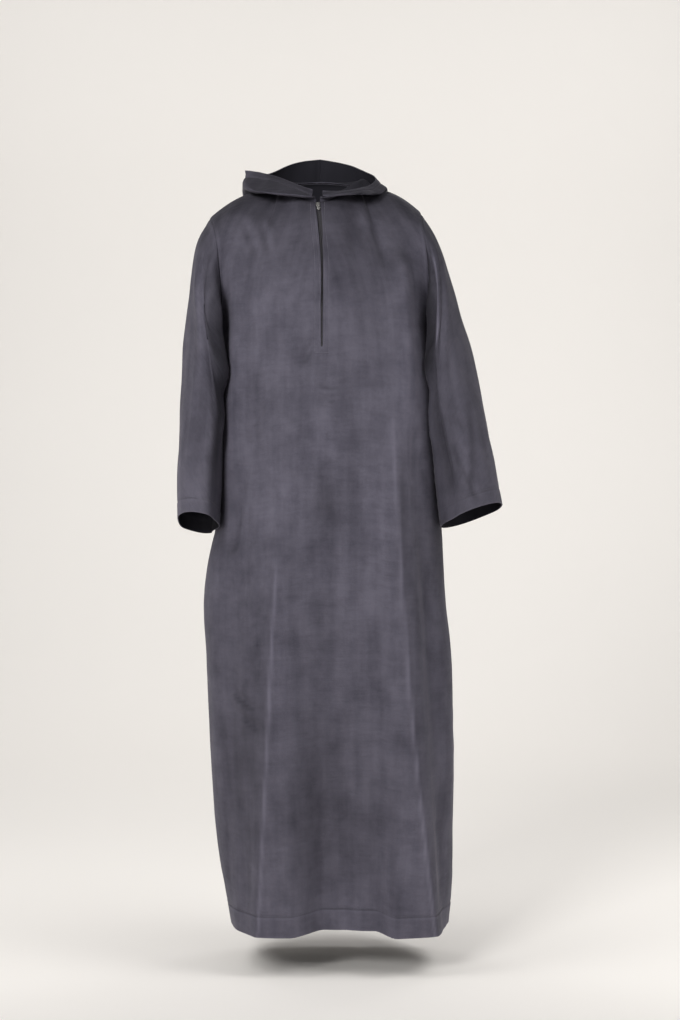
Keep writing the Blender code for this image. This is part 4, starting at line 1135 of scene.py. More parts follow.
SLEEVE_FOLDS = {
    -1: rows_of(
        TurnFold,
        (0.02, 0.62, 118.0, 62.0, -0.0065, 18.0),
        (0.05, 0.75, 146.0, 98.0, 0.005, 16.0),
        (0.30, 1.15, 84.0, 66.0, 0.005, 16.0),
        (0.20, 1.20, 205.0, 236.0, 0.005, 20.0),
        (0.10, 0.80, 250.0, 292.0, -0.006, 20.0),
        (0.00, 0.46, 62.0, 44.0, 0.018, 28.0),
    ),
    1: rows_of(
        TurnFold,
        (0.08, 0.74, 116.0, 66.0, -0.0050, 20.0),
        (0.03, 0.60, 148.0, 98.0, 0.004, 17.0),
        (0.35, 1.15, 66.0, 50.0, -0.006, 18.0),
        (0.25, 1.20, 214.0, 232.0, 0.005, 20.0),
        (0.10, 0.75, 258.0, 296.0, -0.006, 20.0),
        (0.00, 0.44, 62.0, 44.0, 0.013, 28.0),
    ),
}
SLEEVE_CLEARANCE = 0.0052
SLEEVE_CLEAR_RUN = 0.070
# Painted shade and painted highlight streaks along a sleeve's folds: laid out like folds, the height
# being the change.
SLEEVE_PAINTED_LIGHT = {
    -1: rows_of(
        TurnFold,
        (-0.08, 0.98, 64.0, 58.0, -0.42, 22.0),
        (0.02, 0.40, 112.0, 70.0, -0.32, 7.0),
        (0.06, 0.62, 122.0, 108.0, 0.26, 12.0),
        (0.55, 1.05, 84.0, 96.0, 0.16, 14.0),
    ),
    1: rows_of(
        TurnFold,
        (-0.08, 0.44, 72.0, 56.0, -0.58, 20.0),
        (0.03, 0.34, 112.0, 74.0, 0.96, 4.5),
        (0.05, 0.40, 122.0, 92.0, -0.32, 7.0),
        (0.30, 0.98, 70.0, 62.0, -0.26, 16.0),
        (0.60, 0.96, 140.0, 96.0, -0.35, 6.0),
        (0.40, 0.90, 116.0, 104.0, 0.19, 12.0),
    ),
}
# Painted light on a sleeve's outside, and the painted shade on its inside beside the body.
SLEEVE_PAINTED_OUTER = 1.06
SLEEVE_PAINTED_INNER_SHADE = 0.34
SLEEVE_CREASE_GAIN = 1.5
# Over which share of the sleeve its folds, creases and unevenness rise from the armhole seam.
SLEEVE_FOLD_RISE = 0.06
SLEEVE_CREASE_RISE = 0.03
SLEEVE_WAVE_RISE = 0.04
# How far down the sleeve the armhole's own shape reaches.
ARMHOLE_FADE = 0.22
ARMHOLE_FADE_POWER = 1.5
SLEEVE_CREASES = {
    -1: rows_of(
        TurnFold,
        (0.00, 0.42, 58.0, 46.0, 0.0040, 20.0),
        (0.02, 0.34, 100.0, 64.0, -0.0020, 13.0),
        (0.06, 0.30, 128.0, 78.0, 0.0028, 8.0),
        (0.30, 0.66, 112.0, 74.0, -0.0026, 8.0),
        (0.44, 0.92, 138.0, 120.0, 0.0022, 9.0, 1.3),
        (0.56, 0.98, 96.0, 78.0, -0.0022, 8.0),
        (0.38, 0.72, 20.0, 52.0, 0.0024, 10.0),
        (0.10, 0.52, 214.0, 262.0, -0.0032, 9.0),
        (0.34, 0.80, 252.0, 286.0, 0.0026, 9.0),
        (0.50, 1.02, 304.0, 292.0, -0.0026, 9.0),
        (0.04, 0.40, 320.0, 338.0, -0.0030, 9.0),
    ),
    1: rows_of(
        TurnFold,
        (0.00, 0.42, 58.0, 46.0, 0.0030, 20.0),
        (0.02, 0.30, 104.0, 52.0, -0.0036, 8.0),
        (0.03, 0.34, 130.0, 92.0, 0.0032, 8.0, 1.4),
        (0.12, 1.00, 72.0, 64.0, -0.0040, 8.0),
        (0.20, 0.96, 84.0, 78.0, 0.0024, 7.0),
        (0.34, 0.74, 128.0, 108.0, -0.0022, 9.0),
        (0.70, 0.99, 88.0, 112.0, -0.0028, 7.0),
        (0.58, 0.94, 142.0, 130.0, 0.0020, 9.0, 1.3),
        (0.38, 0.72, 20.0, 46.0, 0.0024, 10.0),
        (0.10, 0.50, 216.0, 258.0, -0.0032, 9.0),
        (0.36, 0.82, 250.0, 282.0, 0.0026, 9.0),
        (0.50, 1.02, 306.0, 294.0, -0.0026, 9.0),
        (0.04, 0.40, 322.0, 336.0, -0.0030, 9.0),
    ),
}


class SleeveSheet:
    """A sleeve as rings from the armhole to the cuff."""

    def __init__(self, side: WearerSide, front_edge: Array, back_edge: Array, body: BVHTree) -> None:
        """Takes the armhole from the panels' own edges.

        Args:
            side: Which sleeve it is.
            front_edge: The front panel's armhole edge, from the underarm up.
            back_edge: The back panel's armhole edge, from the underarm up.
            body: The two panels, facing outward, which the sleeve hangs beside.
        """
        self.hand = side.value
        self.body = body
        self.armhole = np.concatenate([front_edge, back_edge[::-1][1:-1]])
        front = np.linspace(0.0, 180.0, len(front_edge))
        back = np.linspace(360.0, 180.0, len(back_edge))
        self.turns = np.concatenate([front, back[::-1][1:-1]])
        even = np.linspace(0.0, 1.0, SLEEVE_RINGS + 1)
        near = SEAM_SHARES[:2] * 0.5
        cuff = 1.0 - np.array(CUFF_SHARES)
        clear = np.min(np.abs(even[:, None] - cuff[None, :]), axis=1) > CUFF_ROOM
        self.shares = np.sort(np.concatenate([even[clear], near, cuff]))

    def ring(self, share: float) -> Array:
        """Gives the ring at a share of the sleeve's length, before its folds.

        Args:
            share: The share, from 0 at the armhole to 1.

        Returns:
            The ring's points.
        """
        level = read_rows(SLEEVE_ROWS[self.hand], "share", share)
        outer = np.array((level["outer_x"], level["mid_y"], level["outer_z"]))
        inner = np.array((level["inner_x"], level["mid_y"], level["inner_z"]))
        centre = 0.5 * (outer + inner)
        up = 0.5 * (outer - inner)
        ahead = np.array((level["front_x"], -level["half_depth"], level["front_rise"]))
        angle = np.radians(self.turns)[:, None]
        return centre - up * np.cos(angle) + ahead * np.sin(angle)

    def grid(self) -> Array:
        """Gives the rings with their folds, creases and cuff. The first is the armhole itself.

        Returns:
            The finished surface, rings by columns.
        """
        correction = self.armhole - self.ring(0.0)
        rows = []
        for share in self.shares:
            fade = (1.0 - smooth_step(share / ARMHOLE_FADE)) ** ARMHOLE_FADE_POWER
            rows.append(self.ring(share) + correction * fade)
        base = np.array(rows)
        turn, along = self.turns[None, :], self.shares[:, None]
        folds = sum(fold.lift(turn, along) for fold in SLEEVE_FOLDS[self.hand])
        creases = sum(fold.lift(turn, along) for fold in SLEEVE_CREASES[self.hand])
        creases = SLEEVE_CREASE_GAIN * creases
        amount = folds * smooth_step(along / SLEEVE_FOLD_RISE)
        amount = amount + creases * smooth_step(along / SLEEVE_CREASE_RISE)
        outward = surface_normals(base, True) * -self.hand
        points = base + outward * amount[..., None]
        seed = SLEEVE_SEED + self.hand
        lift = softness(points, SLEEVE_WAVES, seed) * smooth_step(along / SLEEVE_WAVE_RISE)
        lift = lift + Sewing.seam(run_along(points, 0, False))
        lift = lift + Sewing.turned_edge(points, run_along(points, 0, True), CUFF_TURN, seed)
        return self.rest_on(points + outward * lift[..., None])

    def nap(self) -> Array:
        """Gives the painted light and shade at each point: painted shade darkest on the side beside
        the body, with painted streaks along the folds.

        Returns:
            The lightness, about 1.
        """
        inner = 0.5 + 0.5 * np.cos(np.radians(self.turns))
        turn, along = self.turns[None, :], self.shares[:, None]
        streaks = sum(fold.lift(turn, along) for fold in SLEEVE_PAINTED_LIGHT[self.hand])
        return SLEEVE_PAINTED_OUTER - SLEEVE_PAINTED_INNER_SHADE * inner + streaks

    def rest_on(self, points: Array) -> Array:
        """Moves the rings off the body where they would lie in it or too near it.

        Args:
            points: The rings.

        Returns:
            The same rings, moved.
        """
        below = smooth_step(run_along(points, 0, False)[1:] / SLEEVE_CLEAR_RUN)
        inner = smooth_step(0.5 + np.cos(np.radians(self.turns)))
        for row, column in np.ndindex(below.shape):
            point = points[row + 1, column]
            nearest, normal, _face, _distance = self.body.find_nearest(Vector(point))
            outside = (point - np.array(nearest)) @ np.array(normal)
            push = max(SLEEVE_CLEARANCE - outside, 0.0) * below[row, column] * inner[column]
            points[row + 1, column] += np.array(normal) * push
        return points


class Sewing:
    """How seams and turned edges shape the sheet beside them."""

    @staticmethod
    def rubbed(from_seam: Array, from_edge: Array, turn: float) -> Array:
        """Gives the lighter colour, part wear and part painted highlight, beside a seam, at a turned
        edge and along its stitch line.

        Args:
            from_seam: Each point's distance from the nearest seam.
            from_edge: Each point's distance from the turned edge.
            turn: How wide the turning is.

        Returns:
            Values from 0 to about half.
        """
        return WELT_WEAR_HIGHLIGHT.lift(from_seam) + EDGE_WEAR_HIGHLIGHT.lift(from_edge) + RIDGE_WEAR_HIGHLIGHT.lift(from_edge - turn)

    @staticmethod
    def seam(distance: Array) -> Array:
        """Gives the groove at a seam and the low welt of its turnings beside it."""
        return SEAM_GROOVE.lift(distance) + SEAM_WELT.lift(distance)

    @staticmethod
    def turned_edge(points: Array, distance: Array, turn: float, seed: float) -> Array:
        """Gives the doubled edge, the groove of its stitch line and the puckers beside it.

        Args:
            points: The surface.
            distance: Each point's distance from the edge.
            turn: How wide the turning is.
            seed: Sets the puckers' pattern.

        Returns:
            The lift at each point.
        """
        doubled = TURNED_HEIGHT * smooth_step((turn - distance) / TURNED_EASE)
        near = PUCKERS.depth * bell(distance - turn, PUCKER_REACH)
        puckers = near * uneven(points, PUCKERS.size, PUCKERS.stretch, seed + PUCKER_SEED)
        return doubled + STITCH_GROOVE.lift(distance - turn) + puckers


# ---------------- hood
@dataclass(frozen=True)
class HoodRow:
    """One section of the lowered hood: its fold, how it stands and lofts, and its loose rim."""

    angle: float
    fold_x: float
    fold_y: float
    fold_z: float
    stand: float
    loft: float
    rim_x: float
    rim_y: float
    rim_z: float


HOOD_ROWS = {
    -1: rows_of(
        HoodRow,
        (-95.0, -0.013, -0.101, -0.031, 0.005, 0.007, -0.012, -0.091, -0.015),
        (-112.0, -0.048, -0.106, -0.029, 0.006, 0.009, -0.038, -0.080, -0.005),
        (-138.0, -0.098, -0.090, -0.026, 0.008, 0.016, -0.072, -0.058, 0.013),
        (-165.0, -0.128, -0.048, -0.017, 0.011, 0.026, -0.108, -0.028, 0.027),
        (-190.0, -0.143, 0.006, -0.008, 0.014, 0.034, -0.139, 0.004, 0.038),
        (-215.0, -0.136, 0.098, -0.062, 0.016, 0.034, -0.103, 0.054, 0.034),
        (-242.0, -0.086, 0.158, -0.190, 0.016, 0.032, -0.062, 0.090, 0.066),
        (-270.0, -0.002, 0.172, -0.290, 0.016, 0.030, -0.001, 0.110, 0.078),
    ),
    1: rows_of(
        HoodRow,
        (-89.0, 0.006, -0.101, -0.031, 0.005, 0.007, 0.006, -0.092, -0.017),
        (-66.0, 0.046, -0.105, -0.027, 0.005, 0.007, 0.041, -0.088, -0.018),
        (-40.0, 0.090, -0.088, -0.026, 0.006, 0.008, 0.080, -0.064, -0.008),
        (-14.0, 0.116, -0.046, -0.019, 0.009, 0.010, 0.101, -0.028, 0.008),
        (10.0, 0.123, 0.008, -0.008, 0.013, 0.014, 0.108, 0.010, 0.026),
        (36.0, 0.118, 0.094, -0.060, 0.016, 0.024, 0.089, 0.054, 0.042),
        (62.0, 0.082, 0.158, -0.190, 0.016, 0.032, 0.056, 0.088, 0.064),
        (90.0, -0.002, 0.172, -0.290, 0.016, 0.030, -0.001, 0.110, 0.078),
    ),
}
HOOD_CLEARANCE = 0.0075
HOOD_END_CLEARANCE = 0.0030
HOOD_LAYER_ROOM = 0.0068
PROBE_REACH = 0.20
HOOD_END_SHARE = 0.23
# How much flatter than the solid's the front flaps' upper faces lie, and how that goes by the
# sine of a section's angle.
FLAP_FLATNESS = 0.45
FLAT_START = 0.80
FLAT_FALL = 1.2
# How a section leaves the neckline, in shares of its stand: up, over the roll and down.
OUT_RISE = 0.4
ROLL_GUIDES = ((0.03, 0.60), (0.36, 1.06))
ROLL_REACH = 1.05
ROLL_HEIGHT = 1.06
ROLL_FADE = 2.0
LOWEST_HEIGHT = -0.004
# Where the underside turns before the fold, and its guide points from the roll to that turn.
TURN_SHARE = 0.5
UNDER_SHARES = (0.34, 0.68, 1.0)
# The outer fold's guide points: back, up and aside, as shares of the loft (twice) and the rim.
FOLD_GUIDES = ((0.0, 0.45, 0.05), (0.22, 1.0, 0.20))
# The guide point half way from the turn to the rim: its share aside and its crown.
HALF_ASIDE = 0.55
HALF_CROWN = 0.10
# The right flap's pointed corner: its angle, width and sharpness, how far it is pulled out,
# and the place where the pull starts and its run.
CORNER_ANGLE = -188.0
CORNER_WIDTH = 13.0
CORNER_POWER = 1.3
CORNER_PULL = (-0.012, -0.006, 0.001)
CORNER_FROM = 7.0
CORNER_RUN = 3.0
# How far inside its seams the hood is uneven, and how its creases end.
HOOD_WAVE_RISE = 0.02
HOOD_CREASE_EASE = 0.35
HOOD_CREASE_PAST = 0.1


HOOD_CREASES = {
    -1: rows_of(
        TurnFold,
        (2.5, 7.0, -128.0, -142.0, -0.0026, 7.0),
        (2.0, 7.6, -158.0, -172.0, 0.0030, 8.0),
        (3.0, 8.0, -196.0, -206.0, -0.0034, 8.0),
        (2.4, 7.4, -226.0, -222.0, 0.0034, 8.0),
        (3.0, 8.4, -250.0, -244.0, -0.0036, 8.0),
        (7.4, 9.8, -150.0, -160.0, -0.0022, 9.0),
        (7.2, 9.6, -212.0, -204.0, -0.0026, 9.0),
        (7.4, 9.6, -240.0, -236.0, 0.0026, 9.0),
    ),
    1: rows_of(
        TurnFold,
        (2.5, 6.8, -48.0, -38.0, -0.0022, 6.0),
        (2.0, 7.6, -22.0, -10.0, 0.0026, 8.0),
        (3.0, 8.0, 16.0, 26.0, -0.0034, 8.0),
        (2.4, 7.4, 46.0, 42.0, 0.0034, 8.0),
        (3.0, 8.4, 72.0, 64.0, -0.0036, 8.0),
        (7.4, 9.8, -30.0, -20.0, -0.0018, 9.0),
        (7.2, 9.6, 32.0, 24.0, -0.0026, 9.0),
        (7.4, 9.6, 60.0, 56.0, 0.0026, 9.0),
    ),
}


@dataclass(frozen=True)
class HoodSection:
    """A section's plane: the ways down the hood, out of it and aside, and how it stands."""

    neck: Array
    drop: Array
    away: Array
    aside: Array
    stand: float
    clearance: float

    def place(self, along: float, height: float, aside: float = 0.0) -> Array:
        """Gives the place that lies so far down the hood, out of it and aside."""
        return self.neck + self.drop * along + self.away * height + self.aside * aside


class HoodSheet:
    """One half of the lowered hood, as sections round the neck."""

    def __init__(self, side: WearerSide, neck: Array, below: BVHTree) -> None:
        """Takes the neckline to sew to and the cloth that the hood lies over.

        Args:
            side: Which half it is.
            neck: The neckline's points, in the order of the half's columns.
            below: The panels and sleeves, for the heights that the hood clears.
        """
        self.hand = side.value
        self.neck = neck
        self.below = below
        turn = np.degrees(np.arctan2(neck[:, 1] - NECK_CENTRE_Y, neck[:, 0]))
        self.angles = np.where(turn > 0.0, turn - 360.0, turn) if self.hand < 0 else turn
        self.places = self.place_rows()

    @staticmethod
    def place_rows() -> Array:
        """Lists the rows from the neckline to the rim, closer at the neck seam and the rim."""
        even = np.linspace(0.0, HOOD_RIM_PLACES[-1], HOOD_CELLS + 1)[1:-1]
        return np.concatenate([HOOD_NECK_PLACES, even, HOOD_RIM_PLACES])

    def rise(self, place: Array, away: Array) -> float:
        """Gives how far the cloth below stands out past a place, along the way out.

        Args:
            place: The place.
            away: The way out.

        Returns:
            The height.
        """
        start = Vector(place + away * PROBE_REACH)
        _hit, _normal, _face, distance = self.below.ray_cast(start, Vector(-away), 2.0 * PROBE_REACH)
        return -PROBE_REACH if distance is None else PROBE_REACH - distance

    def low_height(self, section: HoodSection, along: float) -> float:
        """Gives the least height of the underside: over the neck's roll and the cloth below.

        Args:
            section: The section.
            along: How far down the hood.

        Returns:
            The height.
        """
        start = section.neck + section.drop * along
        under = self.rise(start, section.away) + section.clearance
        past = (along - ROLL_REACH * section.stand) / (ROLL_FADE * section.stand)
        roll = ROLL_HEIGHT * section.stand * (1.0 - float(smooth_step(past)))
        return max(under, roll, LOWEST_HEIGHT)

    def guides(self, neck_point: Array, angle: float, clearance: float) -> Array:
        """Gives a section's guide points: up from the neckline, over, out to the fold and back.

        Args:
            neck_point: Where the section is sewn to the neckline.
            angle: The section's angle round the neck, in degrees.
            clearance: How far the section stays above the cloth below.

        Returns:
            Eleven points.
        """
        row = read_rows(HOOD_ROWS[self.hand], "angle", angle)
        loft, stand = row["loft"], row["stand"]
        fold = np.array((row["fold_x"], row["fold_y"], row["fold_z"])) - neck_point
        rim = np.array((row["rim_x"], row["rim_y"], row["rim_z"])) - neck_point
        reach = float(np.linalg.norm(fold))
        drop = fold / reach
        away = unit(unit(np.array((fold[0], fold[1], 0.0))) + np.array((0.0, 0.0, OUT_RISE)))
        aside = unit(np.cross(drop, away))
        away = np.cross(aside, drop)
        section = HoodSection(neck_point, drop, away, aside, stand, clearance)
        flat = float(smooth_step(FLAT_START - FLAT_FALL * math.sin(math.radians(angle))))
        full = loft * (1.0 - FLAP_FLATNESS * flat)
        first, turn = ROLL_REACH * stand, reach - TURN_SHARE * loft
        spots = [first, *(first + (turn - first) * share for share in UNDER_SHARES)]
        heights = [self.low_height(section, spot) for spot in spots]
        top = heights[-1] + full
        rim_along, rim_up, rim_aside = rim @ drop, rim @ away, rim @ aside
        rim_up = max(rim_up, self.low_height(section, rim_along) + HOOD_LAYER_ROOM)
        half_along = turn + (rim_along - turn) * 0.5
        half_up = 0.5 * (top + rim_up) + HALF_CROWN * loft * (1.0 - flat)
        half_up = max(half_up, self.low_height(section, half_along) + HOOD_LAYER_ROOM)
        measures = [(0.0, 0.0), *((along * stand, up * stand) for along, up in ROLL_GUIDES)]
        measures += zip(spots, heights)
        for back, up, beside in FOLD_GUIDES:
            measures.append((reach - back * full, heights[-1] + up * full, beside * rim_aside))
        measures.append((half_along, half_up, HALF_ASIDE * rim_aside))
        measures.append((rim_along, rim_up, rim_aside))
        return np.array([section.place(*measure) for measure in measures])

    def grid(self) -> Array:
        """Gives the sections side by side. The first row is the neckline itself.

        Returns:
            The finished surface, from the neckline to the rim.
        """
        last = len(self.neck) - 1
        grown = HOOD_CLEARANCE - HOOD_END_CLEARANCE
        guides = []
        for k, (point, angle) in enumerate(zip(self.neck, self.angles)):
            from_end = (k if self.hand < 0 else last - k) / last
            clearance = HOOD_END_CLEARANCE + grown * float(smooth_step(from_end / HOOD_END_SHARE))
            guides.append(self.guides(point, float(angle), clearance))
        lines = self.even_out(np.array(guides))
        index = np.arange(lines.shape[1])
        sections = [
            [soft_table(self.places, index, line[:, k]) for k in range(3)] for line in lines
        ]
        base = np.array(sections).transpose(2, 0, 1)
        if self.hand < 0:
            near = bell(self.angles - CORNER_ANGLE, CORNER_WIDTH, CORNER_POWER)
            outer = smooth_step((self.places - CORNER_FROM) / CORNER_RUN)
            base = base + (outer[:, None] * near[None, :])[..., None] * np.array(CORNER_PULL)
        seam = -1 if self.hand < 0 else 0
        base[:, seam, 0] = self.neck[seam][0]
        return self.creased(base)

    @staticmethod
    def even_out(lines: Array) -> Array:
        """Evens the guide points from section to section and leaves the neckline as it is.

        Args:
            lines: The guide points of every section.

        Returns:
            The same points, moved.
        """
        for _ in range(HOOD_EVENING):
            middle = 0.25 * (lines[:-2, 1:] + lines[2:, 1:]) + 0.5 * lines[1:-1, 1:]
            lines[1:-1, 1:] = middle
        return lines

    def creased(self, base: Array) -> Array:
        """Adds the hood's creases, seams and turned rim to its smooth surface.

        Args:
            base: The smooth surface, rows from the neckline to the rim.

        Returns:
            The finished surface.
        """
        place, angle = self.places[:, None], self.angles[None, :]
        ends = (HOOD_CREASE_EASE, HOOD_CREASE_PAST)
        creases = sum(crease.lift(angle, place, *ends) for crease in HOOD_CREASES[self.hand])
        from_seam = run_along(base, 1, self.hand < 0)
        from_rim = run_along(base, 0, True)
        from_neck = run_along(base, 0, False)
        from_front = run_along(base, 1, self.hand > 0)
        seed = HOOD_SEED + self.hand
        rises = [smooth_step(run / HOOD_WAVE_RISE) for run in (from_neck, from_seam, from_front)]
        soft = softness(base, HOOD_WAVES, seed) * rises[2]
        lift = (creases + soft) * (rises[0] * rises[1])
        lift = lift + Sewing.seam(np.minimum(from_neck, from_seam))
        lift = lift + Sewing.turned_edge(base, from_rim, RIM_TURN, seed)
        return base - surface_normals(base, False) * lift[..., None]


# ---------------- sheets to objects
# The mesh attributes: lighter lines of wear and painted highlight, then painted light and shade.
LOOK_LAYERS = ("rubbed", "nap")
SAME_PLACE = 1e-6


class ClothSheet:
    """A finished cloth piece: a grid of outer points made into a thin wall with a UV map."""

    def __init__(self, name: str, points: Array, outward_sign: float, wraps: bool = False) -> None:
        """Keeps the grid and which way its outside faces.

        Args:
            name: The piece's name.
            points: The outer surface, rows by columns by 3.
            outward_sign: 1 where the grid's own normals face outward, -1 where they face in.
            wraps: Whether the last column is sewn to the first.
        """
        self.name = name
        self.points = points
        self.sign = outward_sign
        self.wraps = wraps
        self.normals = surface_normals(points, wraps) * outward_sign
        # The lighter lines of wear and painted highlight, and the painted light and shade, kept at
        # each point.
        self.rubbed = np.zeros(points.shape[:2])
        self.nap = np.ones(points.shape[:2])
        self.cut: list[int] = []

    def open_slit(self, first_row: int, columns: range) -> None:
        """Marks the cells of the slit, which are cut away.

        Args:
            first_row: The slit's lowest row.
            columns: Its columns.
        """
        across = self.points.shape[1] - 1
        rows = range(first_row, self.points.shape[0] - 1)
        self.cut = [row * across + column for row in rows for column in columns]

    def build(self, material: Material, reverse: Material) -> bpy.types.Object:
        """Makes the object: a grid laid over the points, cut, thickened and shaded smooth.

        Args:
            material: The finish of the cloth's right side and edges.
            reverse: The finish of its wrong side, darkened as painted shade.

        Returns:
            The object, at the origin.
        """
        points = self.points
        # Painted shade on cloth that faces up, multiplied into the painted light and shade.
        lean = 1.0 - UPWARD_PAINTED_SHADE * smooth_step(self.normals[..., 2] / UPWARD_SHADE_FULL)
        looks = np.stack([self.rubbed, self.nap * lean], axis=-1)
        if self.wraps:
            points = np.concatenate([points, points[:, :1]], axis=1)
            looks = np.concatenate([looks, looks[:, :1]], axis=1)
        rows, columns = points.shape[:2]
        run_u, run_v = run_along(points, 1, False), run_along(points, 0, False)
        run_u = run_u - run_u[:, columns // 2 : columns // 2 + 1]
        made = bmesh.new()
        layer = made.loops.layers.uv.new("cloth")
        layers = [made.verts.layers.float.new(name) for name in LOOK_LAYERS]
        bmesh.ops.create_grid(made, x_segments=columns - 1, y_segments=rows - 1, size=0.5)
        made.verts.ensure_lookup_table()
        flat, us, vs = points.reshape(-1, 3), run_u.reshape(-1), run_v.reshape(-1)
        for vert, place, look in zip(made.verts, flat, looks.reshape(-1, 2)):
            vert.co = place
            vert[layers[0]], vert[layers[1]] = look
        for loop in (loop for face in made.faces for loop in face.loops):
            loop[layer].uv = (us[loop.vert.index], vs[loop.vert.index])
        if self.cut:
            made.faces.ensure_lookup_table()
            slit = [made.faces[index] for index in self.cut]
            bmesh.ops.delete(made, geom=slit, context="FACES")
        if self.wraps:
            bmesh.ops.remove_doubles(made, verts=made.verts, dist=SAME_PLACE)
        if self.sign < 0:
            bmesh.ops.reverse_faces(made, faces=made.faces)
        obj = Workshop.object_from(self.name, made, material)
        # The inner shell takes the wrong side's finish, darkened as painted shade.
        obj.data.materials.append(reverse)
        wall = obj.modifiers.new("cloth_wall", "SOLIDIFY")
        wall.material_offset = 1
        wall.thickness = CLOTH
        wall.offset = -1.0
        return obj


class Workshop:
    """Small helpers that shape bmeshes and turn them into finished objects."""

    @staticmethod
    def add_bead(
        made: bmesh.types.BMesh, centre: Array, axes: Sequence[Any], halves: Array, rounding: int
    ) -> None:
        """Adds a rounded bead, a stitch or a tooth, to a bmesh.

        Args:
            made: The bmesh.
            centre: The bead's middle.
            axes: Its three directions.
            halves: Half its size along each of them.
            rounding: How often its faces are divided.
        """
        turn = Matrix([Vector(axis) for axis in axes]).transposed().to_4x4()
        matrix = Matrix.Translation(Vector(centre)) @ turn @ Matrix.Diagonal((*halves, 1.0))
        bmesh.ops.create_icosphere(made, subdivisions=rounding, radius=1.0, matrix=matrix)

    @staticmethod
    def object_from(
        name: str, made: bmesh.types.BMesh, material: Material
    ) -> bpy.types.Object:
        """Turns a bmesh into a smoothly shaded object in the scene.

        Args:
            name: The object's name.
            made: The bmesh, which is freed.
            material: The object's finish.

        Returns:
            The object, at the origin.
        """
        for face in made.faces:
            face.smooth = True
        mesh = bpy.data.meshes.new(name)
        made.to_mesh(mesh)
        made.free()
        mesh.materials.append(material)
        obj = bpy.data.objects.new(name, mesh)
        bpy.context.scene.collection.objects.link(obj)
        return obj


